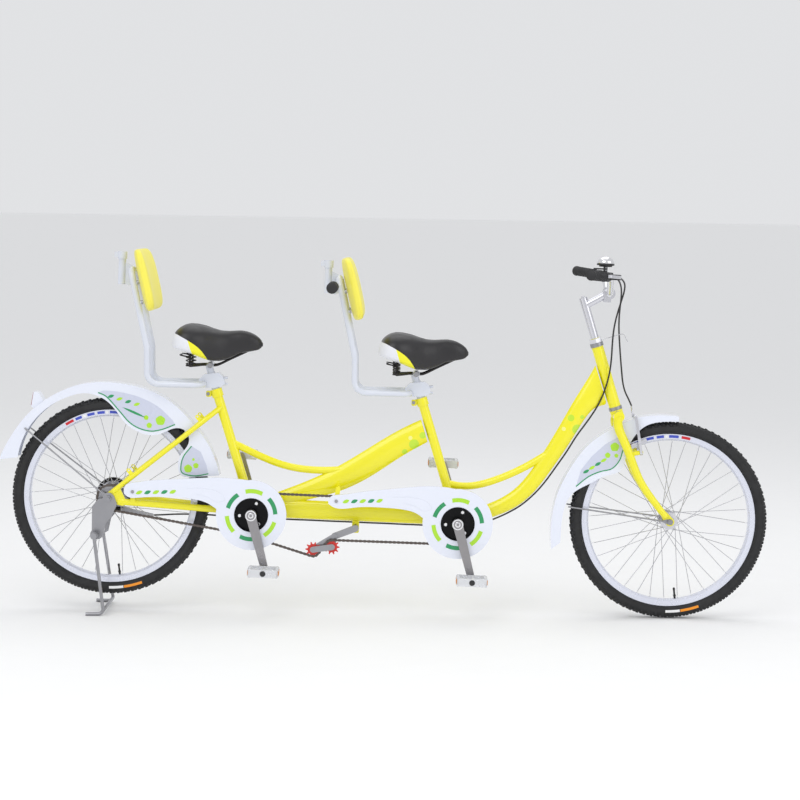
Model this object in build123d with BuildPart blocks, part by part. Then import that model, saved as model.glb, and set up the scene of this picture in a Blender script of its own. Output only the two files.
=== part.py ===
from build123d import *
import math
import os

# Tandem bicycle with two saddles, two backrests and a two-leg rear stand.
#
# The bicycle is drawn on the level: x forwards from the rear axle, y to the rider's left,
# z up from the axle line.  At the end every piece is turned into the parked pose, standing
# on the front tyre and the stand, with the origin on the floor under the middle of the box.

os.makedirs("parts", exist_ok=True)

# ---------------------------------------------------------------- driving dimensions
WHEEL_RADIUS = 298.0
WHEELBASE = 1680.0
PARKED_PITCH = 1.62

CRANK_X = 428.0
CRANK_SPACING = 617.0
CRANK_DROP = 31.0
CRANK_LENGTH = 165.0
CRANK_LEAN = 16.5

SEAT_TUBE_RADIUS = 14.3
SEAT_TUBE_RISE = 367.0
SEAT_TUBE_BACK = 125.0
SEATPOST_RADIUS = 12.7
POST_CLEARANCE = 0.08

HEAD_TUBE_RADIUS = 18.0
HEAD_TUBE_BORE = 15.0
HEAD_TOP = (1441.0, 0.0, 513.0)
HEAD_BOTTOM = (1503.0, 0.0, 335.0)
STEERER_RADIUS = 12.7
STEERER_BORE = 11.2
CUP_RADIUS = 20.0
CUP_HEIGHT = 10.0

SHELL_RADIUS = 20.0
SHELL_BORE = 17.0
SHELL_WIDTH = 68.0
SPINDLE_RADIUS = 8.5

FRAME_TUBE_WIDTH = 30.0
FRAME_WALL = 2.0
BOTTOM_TUBE_Z = -17.0
BOTTOM_TUBE_DEPTH = 57.0
STEP_TUBE_RADIUS = 11.1

REAR_DROPOUT_Y = 60.0
FRONT_DROPOUT_Y = 50.0
DROPOUT_THICKNESS = 5.0
AXLE_RADIUS = 5.0
AXLE_CLEARANCE = 0.06

TYRE_WIDTH = 45.6
BEAD_RADIUS = 255.0
RIM_OUTER_RADIUS = 261.0
RIM_INNER_RADIUS = 241.0
RIM_WIDTH = 28.0
FLANGE_RADIUS = 26.0
FLANGE_Y = 30.0
SPOKES_PER_GROUP = 9
SPOKE_RADIUS = 1.0
SPOKE_STAGGER = 1.3

CHAIN_PITCH = 12.7
CHAINRING_TEETH = 32
FREEWHEEL_TEETH = 18
PULLEY_TEETH = 10
DRIVE_CHAIN_Y = -46.0
SYNC_CHAIN_Y = -56.0
TOOTH_THICKNESS = 2.4

CRANK_INNER_Y = 82.0
CRANK_THICKNESS = 12.0
PEDAL_LENGTH = 95.0
PEDAL_WIDTH = 84.0
PEDAL_HEIGHT = 26.0
PEDAL_SPINDLE_RADIUS = 6.0

FENDER_WIDTH = 60.0
FENDER_WALL = 2.2

GUARD_FACE_Y = -75.0
GUARD_WALL = 2.5
GUARD_DEPTH = 8.0
GUARD_RADIUS = 105.0
GUARD_HOLE_RADIUS = 51.0

BAR_RADIUS = 11.0
GRIP_RADIUS = 15.5
GRIP_LENGTH = 125.0
BAR_HALF_WIDTH = 270.0
CABLE_RADIUS = 2.5

RUNNING_CLEARANCE = 0.06
SEAT_GAP = 0.3

REAR_AXLE = (0.0, 0.0, 0.0)
FRONT_AXLE = (WHEELBASE, 0.0, 0.0)
REAR_CRANK = (CRANK_X, 0.0, -CRANK_DROP)
FRONT_CRANK = (CRANK_X + CRANK_SPACING, 0.0, -CRANK_DROP)
AXLE_HEIGHT = WHEEL_RADIUS + WHEELBASE * math.sin(math.radians(PARKED_PITCH))

pieces = {}


# ---------------------------------------------------------------- helpers
def side_plane(y):
    """Side view at a given y: local x forwards, local y up, normal to the rider's right."""
    return Plane(origin=(0, y, 0), x_dir=(1, 0, 0), z_dir=(0, -1, 0))


def lathe_plane(x, z):
    """Half section through a crosswise axle at x, z: local x to the left, local y outwards."""
    return Plane(origin=(x, 0, z), x_dir=(0, 1, 0), z_dir=(1, 0, 0))


def crosswise_axis(x, z):
    """Axis through x, z that runs across the bicycle."""
    return Axis((x, 0, z), (0, 1, 0))


def floor_z(x):
    """Level-frame height of the floor under a point of the parked bicycle."""
    pitch = math.radians(PARKED_PITCH)
    return (x * math.sin(pitch) - AXLE_HEIGHT) / math.cos(pitch)


def between(start, end, share):
    """Point a given share of the way from one point to another."""
    return tuple(a + (b - a) * share for a, b in zip(start, end))


def beyond(start, end, distance):
    """Point on the line from start to end, a distance past the end."""
    length = math.dist(start, end)
    return between(start, end, 1 + distance / length)


def rod(start, end, radius, bore=0.0):
    """Straight round bar, or a tube if it has a bore."""
    run = Vector(*end) - Vector(*start)
    with BuildPart() as bar:
        with BuildSketch(Plane(origin=start, z_dir=run.normalized())):
            Circle(radius)
            if bore:
                Circle(bore, mode=Mode.SUBTRACT)
        extrude(amount=run.length)
    return bar.part


def crosswise_rod(x, z, y_from, y_to, radius, bore=0.0):
    """Straight round bar across the bicycle."""
    return rod((x, y_from, z), (x, y_to, z), radius, bore)


def bent_rod(points, radius, bend, bore=0.0):
    """Round bar along a polyline whose corners are rounded with one bend radius."""
    run = Vector(*points[1]) - Vector(*points[0])
    with BuildPart() as bar:
        with BuildLine() as route:
            FilletPolyline(*points, radius=bend)
        with BuildSketch(Plane(origin=points[0], z_dir=run.normalized())):
            Circle(radius)
            if bore:
                Circle(bore, mode=Mode.SUBTRACT)
        sweep(path=route.wires()[0])
    return bar.part


def section_planes(points):
    """Planes square to a path in the side view, with local x across the bicycle."""
    planes = []
    for index, here in enumerate(points):
        before = Vector(*points[max(index - 1, 0)])
        after = Vector(*points[min(index + 1, len(points) - 1)])
        planes.append(Plane(origin=here, x_dir=(0, 1, 0), z_dir=(after - before).normalized()))
    return planes


def lofted_tube(planes, sizes, wall=0.0):
    """Oval tube through a list of planes; sizes are (width, depth) of the outside."""
    with BuildPart() as tube:
        for plane, (width, depth) in zip(planes, sizes):
            with BuildSketch(plane):
                Ellipse(width / 2, depth / 2)
        loft()
        if wall:
            for plane, (width, depth) in zip(planes, sizes):
                with BuildSketch(plane):
                    Ellipse(width / 2 - wall, depth / 2 - wall)
            loft(mode=Mode.SUBTRACT)
    return tube.part


def link_plate(circles, y_from, thickness):
    """Flat plate whose outline wraps a few circles (x, z, radius); grows to the right."""
    with BuildPart() as plate:
        with BuildSketch(side_plane(y_from)):
            for x, z, radius in circles:
                with Locations((x, z)):
                    Circle(radius)
            make_hull()
        extrude(amount=thickness)
    return plate.part


def side_prism(rows, y_from, thickness, discs=()):
    """Flat prism in the side view; grows to the right.

    The outline joins rows of (x, z) points with smooth curves; a row of two is straight.
    """
    with BuildPart() as prism:
        with BuildSketch(side_plane(y_from)):
            with BuildLine():
                for row, following in zip(rows, rows[1:] + rows[:1]):
                    if len(row) > 3:
                        Spline(*row)
                    else:
                        Polyline(*row)
                    if math.dist(row[-1], following[0]) > 0.01:
                        Line(row[-1], following[0])
            make_face()
            for x, z, radius in discs:
                with Locations((x, z)):
                    Circle(radius)
        extrude(amount=thickness)
    return prism.part


def pitch_radius(teeth):
    """Pitch radius of a sprocket."""
    return CHAIN_PITCH / (2 * math.sin(math.pi / teeth))


def tooth_points(teeth):
    """Outline of a sprocket: four points to a tooth."""
    radius = pitch_radius(teeth)
    root, tip = radius - 4.0, radius + 2.6
    step = 2 * math.pi / teeth
    points = []
    for tooth in range(teeth):
        middle = tooth * step
        for share, size in ((-0.30, root), (-0.10, tip), (0.10, tip), (0.30, root)):
            angle = middle + share * step
            points.append((size * math.cos(angle), size * math.sin(angle)))
    return points


def sprocket(x, z, y, teeth, bore, thickness=TOOTH_THICKNESS):
    """Toothed disc centred on a chain line."""
    with BuildPart() as disc:
        with BuildSketch(side_plane(y + thickness / 2)):
            with Locations((x, z)):
                Polygon(*tooth_points(teeth), align=None)
                Circle(bore, mode=Mode.SUBTRACT)
        extrude(amount=thickness)
    return disc.part


def chain_runs(wheels, offset):
    """Straight runs and arcs of a chain line round wheels given as (x, z, signed radius).

    A positive radius has the wheel inside the loop.  The offset moves the line outwards.
    """
    count = len(wheels)
    tangents = []
    for index in range(count):
        x1, z1, r1 = wheels[index]
        x2, z2, r2 = wheels[(index + 1) % count]
        span = math.hypot(x2 - x1, z2 - z1)
        heading = math.atan2(z2 - z1, x2 - x1) + math.asin((r2 - r1) / span)
        left = (-math.sin(heading), math.cos(heading))
        start = (x1 + (r1 + offset) * left[0], z1 + (r1 + offset) * left[1])
        end = (x2 + (r2 + offset) * left[0], z2 + (r2 + offset) * left[1])
        tangents.append((start, end))
    runs = []
    for index in range(count):
        start, end = tangents[index]
        x, z, radius = wheels[(index + 1) % count]
        leave = tangents[(index + 1) % count][0]
        first = math.atan2(end[1] - z, end[0] - x)
        last = math.atan2(leave[1] - z, leave[0] - x)
        if radius > 0:
            middle = first - ((first - last) % (2 * math.pi)) / 2
        else:
            middle = first + ((last - first) % (2 * math.pi)) / 2
        size = abs(radius + offset)
        top = (x + size * math.cos(middle), z + size * math.sin(middle))
        runs.append((start, end, top, leave))
    return runs


def chain(wheels, y):
    """Chain as a channel-shaped loop: side plates with an outer web over the teeth."""
    guides = [wheel for wheel in wheels if wheel[2] < 0]
    with BuildPart() as loop:
        with BuildSketch(side_plane(y + 4.0)):
            with BuildLine():
                for start, end, top, leave in chain_runs(wheels, 4.2):
                    Line(start, end)
                    ThreePointArc(end, top, leave)
            make_face()
            with BuildLine():
                for start, end, top, leave in chain_runs(wheels, -4.2):
                    Line(start, end)
                    ThreePointArc(end, top, leave)
            make_face(mode=Mode.SUBTRACT)
        extrude(amount=8.0)
        with BuildSketch(side_plane(y + 2.6)):
            with BuildLine():
                for start, end, top, leave in chain_runs(wheels, 3.1):
                    Line(start, end)
                    ThreePointArc(end, top, leave)
            make_face()
            with BuildLine():
                for start, end, top, leave in chain_runs(wheels, -4.4):
                    Line(start, end)
                    ThreePointArc(end, top, leave)
            make_face(mode=Mode.SUBTRACT)
        extrude(amount=5.2, mode=Mode.SUBTRACT)
        # The web is open where an outside pulley reaches in.
        for x, z, radius in guides:
            add(crosswise_rod(x, z, y - 2.6, y + 2.6, 3.4 - radius), mode=Mode.SUBTRACT)
    return loop.part


def cord_radii(points):
    """Bend radius at each corner: 0.45 of the shorter run over the tangent of half the turn."""
    radii = []
    for before, here, after in zip(points, points[1:], points[2:]):
        run_in = Vector(*here) - Vector(*before)
        run_out = Vector(*after) - Vector(*here)
        half_turn = math.radians(run_in.get_angle(run_out)) / 2
        radii.append(0.45 * min(run_in.length, run_out.length) / math.tan(half_turn))
    return radii


def cable(name, points):
    """Round cable along its route of straight runs and tangent arcs."""
    radii = cord_radii(points)
    print(name, "bend radii, mm:", [round(radius) for radius in radii])
    run = Vector(*points[1]) - Vector(*points[0])
    with BuildPart() as cord:
        with BuildLine() as route:
            FilletPolyline(*points, radius=radii)
        with BuildSketch(Plane(origin=points[0], z_dir=run.normalized())):
            Circle(CABLE_RADIUS)
        sweep(path=route.wires()[0])
    length = route.wires()[0].length
    expected = math.pi * CABLE_RADIUS**2 * length
    print(name, "length", round(length), "volume share", round(cord.part.volume / expected, 4))
    return cord.part


# ---------------------------------------------------------------- frame tubes
head_tube_solid = rod(HEAD_BOTTOM, HEAD_TOP, HEAD_TUBE_RADIUS)
head_bore_solid = rod(beyond(HEAD_TOP, HEAD_BOTTOM, 1), beyond(HEAD_BOTTOM, HEAD_TOP, 1), HEAD_TUBE_BORE)

with BuildPart() as head_tube:
    add(head_tube_solid)
    add(head_bore_solid, mode=Mode.SUBTRACT)
pieces["head_tube"] = head_tube.part

SEAT_TUBE_FEET = (REAR_CRANK, FRONT_CRANK)
SEAT_TUBE_TOPS = tuple(
    (foot[0] - SEAT_TUBE_BACK, 0.0, foot[2] + SEAT_TUBE_RISE) for foot in SEAT_TUBE_FEET
)
seat_tube_solids = [
    rod(foot, top, SEAT_TUBE_RADIUS) for foot, top in zip(SEAT_TUBE_FEET, SEAT_TUBE_TOPS)
]
shell_solids = [
    crosswise_rod(x, z, -SHELL_WIDTH / 2, SHELL_WIDTH / 2, SHELL_RADIUS) for x, _, z in SEAT_TUBE_FEET
]

# The bottom tube is welded between the two crank shells.
HANGER_X = 739.5
HANGER_TIP_Z = -81.0
with BuildPart() as bottom_tube:
    with BuildSketch(Plane(origin=(CRANK_X, 0, BOTTOM_TUBE_Z), x_dir=(0, 1, 0), z_dir=(1, 0, 0))):
        Ellipse(FRAME_TUBE_WIDTH / 2, BOTTOM_TUBE_DEPTH / 2)
    extrude(amount=CRANK_SPACING)
    with BuildSketch(Plane(origin=(CRANK_X, 0, BOTTOM_TUBE_Z), x_dir=(0, 1, 0), z_dir=(1, 0, 0))):
        Ellipse(FRAME_TUBE_WIDTH / 2 - FRAME_WALL, BOTTOM_TUBE_DEPTH / 2 - FRAME_WALL)
    extrude(amount=CRANK_SPACING, mode=Mode.SUBTRACT)
    with BuildSketch(side_plane(2.5)):
        with Locations((HANGER_X, (BOTTOM_TUBE_Z + HANGER_TIP_Z) / 2 - 13)):
            RectangleRounded(21, -HANGER_TIP_Z + BOTTOM_TUBE_Z - 26, 4)
    extrude(amount=5)
    for shell in shell_solids:
        add(shell)
    for x, _, z in SEAT_TUBE_FEET:
        add(crosswise_rod(x, z, -SHELL_WIDTH, SHELL_WIDTH, SHELL_BORE), mode=Mode.SUBTRACT)
    add(crosswise_rod(HANGER_X, -62, -10, 10, 5.05), mode=Mode.SUBTRACT)
pieces["bottom_tube"] = bottom_tube.part

with BuildPart() as bottom_tube_envelope:
    with BuildSketch(Plane(origin=(CRANK_X, 0, BOTTOM_TUBE_Z), x_dir=(0, 1, 0), z_dir=(1, 0, 0))):
        Ellipse(FRAME_TUBE_WIDTH / 2, BOTTOM_TUBE_DEPTH / 2)
    extrude(amount=CRANK_SPACING)
    for shell in shell_solids:
        add(shell)

# Seat tubes with their painted clamp collars.
COLLAR_HEIGHT = 24.0
with BuildPart() as seat_tubes:
    for foot, top, outside in zip(SEAT_TUBE_FEET, SEAT_TUBE_TOPS, seat_tube_solids):
        add(outside)
        add(rod(foot, beyond(foot, top, 1), SEATPOST_RADIUS + POST_CLEARANCE), mode=Mode.SUBTRACT)
    add(bottom_tube_envelope.part, mode=Mode.SUBTRACT)
with BuildPart() as seat_collars:
    for foot, top in zip(SEAT_TUBE_FEET, SEAT_TUBE_TOPS):
        low = beyond(foot, top, -COLLAR_HEIGHT)
        add(rod(low, top, SEAT_TUBE_RADIUS + 3.5, SEAT_TUBE_RADIUS + 0.02))
        middle = between(low, top, 0.5)
        with BuildSketch(side_plane(9)):
            with Locations((middle[0] - 24, middle[2] - 4)):
                RectangleRounded(16, 18, 4)
        extrude(amount=18)
        add(rod(low, beyond(low, top, 1), SEAT_TUBE_RADIUS + 0.02), mode=Mode.SUBTRACT)
        slit = Plane(origin=(middle[0] - 26, 0, middle[2] - 4))
        with BuildSketch(slit.offset(-20)):
            Rectangle(26, 2.4)
        extrude(amount=40, mode=Mode.SUBTRACT)
        add(crosswise_rod(middle[0] - 26, middle[2] - 4, -12, 12, 3.05), mode=Mode.SUBTRACT)
pieces["seat_tubes"] = Compound(children=list(seat_tubes.part.solids()) + list(seat_collars.part.solids()))

# Main tube: a deep oval from the front seat tube down to the rear crank shell.
MAIN_TUBE = (
    (934, 237, 30, 70), (884, 209, 30, 73), (800, 153, 30, 76), (706, 92, 30, 74),
    (604, 46, 30, 58), (520, 16, 30, 46), (440, -16, 30, 36),
)
main_planes = section_planes([(x, 0, z) for x, z, _, _ in MAIN_TUBE])
main_planes[0] = Plane(origin=(934, 0, 237), x_dir=(0, 1, 0), z_dir=(-0.95, 0, -0.32))
main_sizes = [(width, depth) for _, _, width, depth in MAIN_TUBE]
main_tube_envelope = lofted_tube(main_planes, main_sizes)
with BuildPart() as main_tube:
    add(lofted_tube(main_planes, main_sizes, FRAME_WALL))
    add(bottom_tube_envelope.part, mode=Mode.SUBTRACT)
    for outside in seat_tube_solids:
        add(outside, mode=Mode.SUBTRACT)
    # Arm and tab that carry the rear end of the front chain guard.
    add(crosswise_rod(684, 58, -10.5, -63, 5))
    add(link_plate([(684, 58, 7), (680, 22, 7)], -62, 3.5))
    add(crosswise_rod(680, 22, -60, -68, 2.6), mode=Mode.SUBTRACT)
pieces["main_tube"] = max(main_tube.part.solids(), key=lambda solid: solid.volume)

# Down tube: an oval that sweeps from the head tube down to the front crank shell.
DOWN_TUBE = (
    (1457, 402, 30, 116), (1412, 341, 30, 64), (1364, 259, 30, 54), (1308, 161, 30, 50),
    (1256, 84, 30, 48), (1218, 46, 30, 47), (1177, 20, 30, 45), (1112, -9, 30, 43), (1050, -31, 30, 40),
)
down_planes = section_planes([(x, 0, z) for x, z, _, _ in DOWN_TUBE])
down_planes[0] = Plane(origin=(1457, 0, 402), x_dir=(0, 1, 0), z_dir=(-0.944, 0, -0.329))
down_sizes = [(width, depth) for _, _, width, depth in DOWN_TUBE]
down_tube_envelope = lofted_tube(down_planes, down_sizes)
with BuildPart() as down_tube:
    add(lofted_tube(down_planes, down_sizes, FRAME_WALL))
    add(head_tube_solid, mode=Mode.SUBTRACT)
    add(bottom_tube_envelope.part, mode=Mode.SUBTRACT)
    add(seat_tube_solids[1], mode=Mode.SUBTRACT)
pieces["down_tube"] = max(down_tube.part.solids(), key=lambda solid: solid.volume)

# Step tubes: slim curved braces ahead of each seat tube.
REAR_STEP_TUBE = ((360, 0, 176), (435, 0, 143), (520, 0, 114), (613, 0, 104), (712, 0, 112))
FRONT_STEP_TUBE = ((1004, 0, 84), (1084, 0, 77), (1160, 0, 100), (1254, 0, 148), (1316, 0, 190))


def step_tube(points, neighbours):
    """Curved round tube, coped to the tubes at both its ends."""
    with BuildPart() as tube:
        with BuildLine() as route:
            Spline(*points)
        start = route.wires()[0]
        with BuildSketch(Plane(origin=start @ 0, z_dir=start % 0)):
            Circle(STEP_TUBE_RADIUS)
            Circle(STEP_TUBE_RADIUS - FRAME_WALL, mode=Mode.SUBTRACT)
        sweep(path=start)
        for neighbour in neighbours:
            add(neighbour, mode=Mode.SUBTRACT)
    return max(tube.part.solids(), key=lambda solid: solid.volume)


rear_step = step_tube(REAR_STEP_TUBE, (seat_tube_solids[0], main_tube_envelope))
front_step = step_tube(FRONT_STEP_TUBE, (seat_tube_solids[1], down_tube_envelope))
pieces["step_tubes"] = Compound(children=[rear_step, front_step])

# ---------------------------------------------------------------- rear stays and dropouts
STAY_RADIUS = 8.0
STAY_TOP = (322.0, 283.0)
STAY_FOOT = (11.0, 19.0)
STAY_LINE_Y = REAR_DROPOUT_Y + DROPOUT_THICKNESS / 2
LUG_ALONG = (71.0, 331.0)
LUG_STANDOFF = 21.5
LUG_HOLE_RADIUS = 2.75
BRIDGE_SHARE = 0.215


def stay_point(share, y):
    """Point on the side-view line of the seat stays."""
    x = STAY_TOP[0] + (STAY_FOOT[0] - STAY_TOP[0]) * share
    z = STAY_TOP[1] + (STAY_FOOT[1] - STAY_TOP[1]) * share
    return (x, y, z)


stay_length = math.dist(STAY_TOP, STAY_FOOT)
stay_along = ((STAY_FOOT[0] - STAY_TOP[0]) / stay_length, (STAY_FOOT[1] - STAY_TOP[1]) / stay_length)
stay_normal = (stay_along[1], -stay_along[0])

with BuildPart() as rear_stays:
    for side in (1, -1):
        add(bent_rod([stay_point(0, 8 * side), stay_point(0.15, 40 * side), stay_point(1, STAY_LINE_Y * side)],
                     STAY_RADIUS, 80))
        chain_stay_route = ((412, 25 * side, -27), (345, 32 * side, -25), (28, STAY_LINE_Y * side, -9))
        chain_stay_start = Vector(*chain_stay_route[1]) - Vector(*chain_stay_route[0])
        with BuildLine() as chain_stay_line:
            FilletPolyline(*chain_stay_route, radius=200)
        with BuildSketch(Plane(origin=chain_stay_route[0], x_dir=(0, 1, 0), z_dir=chain_stay_start.normalized())):
            Ellipse(6.2, 10)
        sweep(path=chain_stay_line.wires()[0])
        outer_y = REAR_DROPOUT_Y + DROPOUT_THICKNESS if side > 0 else -REAR_DROPOUT_Y
        add(link_plate([(0, 0, 15), (24, 27, 10), (42, -10, 11)], outer_y, DROPOUT_THICKNESS))
        for along in LUG_ALONG:
            foot_x = STAY_TOP[0] + stay_along[0] * along
            foot_z = STAY_TOP[1] + stay_along[1] * along
            stay_y = 40 + (STAY_LINE_Y - 40) * max(0.0, along / stay_length - 0.15) / 0.85
            hole_x = foot_x + stay_normal[0] * LUG_STANDOFF
            hole_z = foot_z + stay_normal[1] * LUG_STANDOFF
            add(link_plate([(foot_x, foot_z, 6), (hole_x, hole_z, 6)], stay_y * side + 2, 4))
            add(crosswise_rod(hole_x, hole_z, stay_y * side - 5, stay_y * side + 5, LUG_HOLE_RADIUS),
                mode=Mode.SUBTRACT)
        slot_y = side * STAY_LINE_Y
        add(crosswise_rod(0, 0, slot_y - 6, slot_y + 6, AXLE_RADIUS + 0.1), mode=Mode.SUBTRACT)
        with BuildSketch(side_plane(slot_y + 6)):
            with Locations((-12, 0)):
                Rectangle(24, 2 * AXLE_RADIUS + 0.2)
        extrude(amount=12, mode=Mode.SUBTRACT)
    bridge = stay_point(BRIDGE_SHARE, 0)
    add(crosswise_rod(bridge[0], bridge[2], -42, 42, 6))
    add(crosswise_rod(345, -25, -33, 33, 6))
    # Tab on the right chain stay that carries the rear end of the chain guard.
    add(link_plate([(72, 24, 7), (72, -6, 7)], -62, 3.5))
    add(crosswise_rod(72, 24, -60, -68, 2.6), mode=Mode.SUBTRACT)
    add(seat_tube_solids[0], mode=Mode.SUBTRACT)
    add(bottom_tube_envelope.part, mode=Mode.SUBTRACT)
    for y_from, y_to in ((REAR_DROPOUT_Y, 40), (-40, -REAR_DROPOUT_Y)):
        with BuildSketch(side_plane(y_from)):
            Circle(16)
        extrude(amount=y_from - y_to, mode=Mode.SUBTRACT)
pieces["rear_stays"] = rear_stays.part

# ---------------------------------------------------------------- wheels
VALVE_ANGLE = -82.0
HALF_TYRE = TYRE_WIDTH / 2
CROWN_RADIUS = WHEEL_RADIUS - 5.5


def valve_point(axle_x, radius):
    """Point on the valve's radial line."""
    angle = math.radians(VALVE_ANGLE)
    return (axle_x + radius * math.cos(angle), 0.0, radius * math.sin(angle))


def make_tyre(axle_x):
    """Hollow tyre with the inner tube and its valve inside."""
    with BuildPart() as casing:
        with BuildSketch(lathe_plane(axle_x, 0)):
            with BuildLine():
                Line((11.5, BEAD_RADIUS), (11.5, RIM_OUTER_RADIUS + 0.8))
                ThreePointArc((11.5, RIM_OUTER_RADIUS + 0.8), (HALF_TYRE - 2.2, 267.5), (HALF_TYRE, 277))
                ThreePointArc((HALF_TYRE, 277), (HALF_TYRE - 1.8, 286), (15, CROWN_RADIUS))
                ThreePointArc((15, CROWN_RADIUS), (0, WHEEL_RADIUS), (-15, CROWN_RADIUS))
                ThreePointArc((-15, CROWN_RADIUS), (1.8 - HALF_TYRE, 286), (-HALF_TYRE, 277))
                ThreePointArc((-HALF_TYRE, 277), (2.2 - HALF_TYRE, 267.5), (-11.5, RIM_OUTER_RADIUS + 0.8))
                Line((-11.5, RIM_OUTER_RADIUS + 0.8), (-11.5, BEAD_RADIUS))
                Line((-11.5, BEAD_RADIUS), (-8.5, BEAD_RADIUS))
                Line((-8.5, BEAD_RADIUS), (-8.5, RIM_OUTER_RADIUS + 3))
                ThreePointArc((-8.5, RIM_OUTER_RADIUS + 3), (5.2 - HALF_TYRE, 269.5), (3 - HALF_TYRE, 277))
                ThreePointArc((3 - HALF_TYRE, 277), (4.8 - HALF_TYRE, 284), (-12.5, CROWN_RADIUS - 4))
                ThreePointArc((-12.5, CROWN_RADIUS - 4), (0, WHEEL_RADIUS - 5), (12.5, CROWN_RADIUS - 4))
                ThreePointArc((12.5, CROWN_RADIUS - 4), (HALF_TYRE - 4.8, 284), (HALF_TYRE - 3, 277))
                ThreePointArc((HALF_TYRE - 3, 277), (HALF_TYRE - 5.2, 269.5), (8.5, RIM_OUTER_RADIUS + 3))
                Line((8.5, RIM_OUTER_RADIUS + 3), (8.5, BEAD_RADIUS))
                Line((8.5, BEAD_RADIUS), (11.5, BEAD_RADIUS))
            make_face()
        revolve(axis=crosswise_axis(axle_x, 0))
    with BuildPart() as inner_tube:
        with BuildSketch(lathe_plane(axle_x, 0)):
            with Locations((0, 272)):
                Circle(15.0)
        revolve(axis=crosswise_axis(axle_x, 0))
        with BuildSketch(lathe_plane(axle_x, 0)):
            with Locations((0, 272)):
                Circle(13.8)
        revolve(axis=crosswise_axis(axle_x, 0), mode=Mode.SUBTRACT)
        add(rod(valve_point(axle_x, 257.6), valve_point(axle_x, 212), 3.2))
    return Compound(children=[casing.part.solids()[0], inner_tube.part.solids()[0]])


def make_rim(axle_x):
    """Alloy rim: a channel for the tyre over a box section."""
    half = RIM_WIDTH / 2
    with BuildPart() as rim:
        with BuildSketch(lathe_plane(axle_x, 0)):
            with BuildLine():
                Polyline(
                    (half, RIM_OUTER_RADIUS), (half - 2, RIM_OUTER_RADIUS), (half - 2, 252.5),
                    (2 - half, 252.5), (2 - half, RIM_OUTER_RADIUS), (-half, RIM_OUTER_RADIUS),
                    (-half, 246), (5 - half, RIM_INNER_RADIUS), (half - 5, RIM_INNER_RADIUS), (half, 246),
                    close=True,
                )
            make_face()
        revolve(axis=crosswise_axis(axle_x, 0))
        add(rod(valve_point(axle_x, 262), valve_point(axle_x, 236), 3.5), mode=Mode.SUBTRACT)
    return rim.part


def make_spokes(axle_x):
    """Thirty-six crossed spokes in four groups, staggered so that they pass each other."""
    spokes = []
    start_radius = FLANGE_RADIUS + 1.3
    end_radius = RIM_INNER_RADIUS - 0.5
    for side in (1, -1):
        for twist in (1, -1):
            hub_y = side * (FLANGE_Y + twist * SPOKE_STAGGER)
            rim_y = side * (4.0 + twist * SPOKE_STAGGER)
            for index in range(SPOKES_PER_GROUP):
                start = math.radians(40 * index + 10 * (side < 0) + 20 * (twist < 0))
                end = start + twist * math.radians(60)
                spokes.append(rod(
                    (axle_x + start_radius * math.cos(start), hub_y, start_radius * math.sin(start)),
                    (axle_x + end_radius * math.cos(end), rim_y, end_radius * math.sin(end)),
                    SPOKE_RADIUS,
                ).solids()[0])
    return Compound(children=spokes)


def turned_hub(axle_x, profile):
    """Hub turned from a list of (y, radius) points, bored for the axle."""
    bore = AXLE_RADIUS + AXLE_CLEARANCE
    outline = [(profile[0][0], bore)] + list(profile) + [(profile[-1][0], bore)]
    with BuildPart() as hub:
        with BuildSketch(lathe_plane(axle_x, 0)):
            with BuildLine():
                Polyline(*outline, close=True)
            make_face()
        revolve(axis=crosswise_axis(axle_x, 0))
    return hub.part


FREEWHEEL_SEAT_RADIUS = 17.0
BRAKE_DRUM_RADIUS = 40.0
FRONT_HUB_PROFILE = (
    (-46, 13), (-31.5, 15), (-31.5, FLANGE_RADIUS), (-28.5, FLANGE_RADIUS), (-28.5, 14),
    (28.5, 14), (28.5, FLANGE_RADIUS), (31.5, FLANGE_RADIUS), (31.5, 15), (46, 13),
)
REAR_HUB_PROFILE = (
    (-54.5, FREEWHEEL_SEAT_RADIUS), (-31.5, FREEWHEEL_SEAT_RADIUS), (-31.5, FLANGE_RADIUS),
    (-28.5, FLANGE_RADIUS), (-28.5, 16), (28.5, 16), (28.5, FLANGE_RADIUS), (31.5, FLANGE_RADIUS),
    (31.5, 18), (40, 18), (40, BRAKE_DRUM_RADIUS), (50.8, BRAKE_DRUM_RADIUS), (50.8, 35), (44, 35),
    (44, 18), (51, 18),
)

for prefix, axle, profile in (("front", FRONT_AXLE, FRONT_HUB_PROFILE), ("rear", REAR_AXLE, REAR_HUB_PROFILE)):
    pieces[prefix + "_tyre"] = make_tyre(axle[0])
    pieces[prefix + "_rim"] = make_rim(axle[0])
    pieces[prefix + "_spokes"] = make_spokes(axle[0])
    pieces[prefix + "_hub"] = turned_hub(axle[0], profile)

with BuildPart() as freewheel:
    add(sprocket(0, 0, DRIVE_CHAIN_Y, FREEWHEEL_TEETH, FREEWHEEL_SEAT_RADIUS + RUNNING_CLEARANCE))
    add(crosswise_rod(0, 0, -39, -54, 25, FREEWHEEL_SEAT_RADIUS + RUNNING_CLEARANCE))
pieces["freewheel"] = freewheel.part

# ---------------------------------------------------------------- cranks and pedals
CRANK_ANGLE = math.radians(-90 + CRANK_LEAN)
CRANK_OUTER_Y = CRANK_INNER_Y + CRANK_THICKNESS
PEDAL_Y = CRANK_OUTER_Y + 8.0 + PEDAL_WIDTH / 2


def pedal_centre(crank, side):
    """Where the pedal spindle meets the crank: low on the right, high on the left."""
    reach = CRANK_LENGTH if side < 0 else -CRANK_LENGTH
    return (crank[0] + reach * math.cos(CRANK_ANGLE), crank[2] + reach * math.sin(CRANK_ANGLE))


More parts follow.
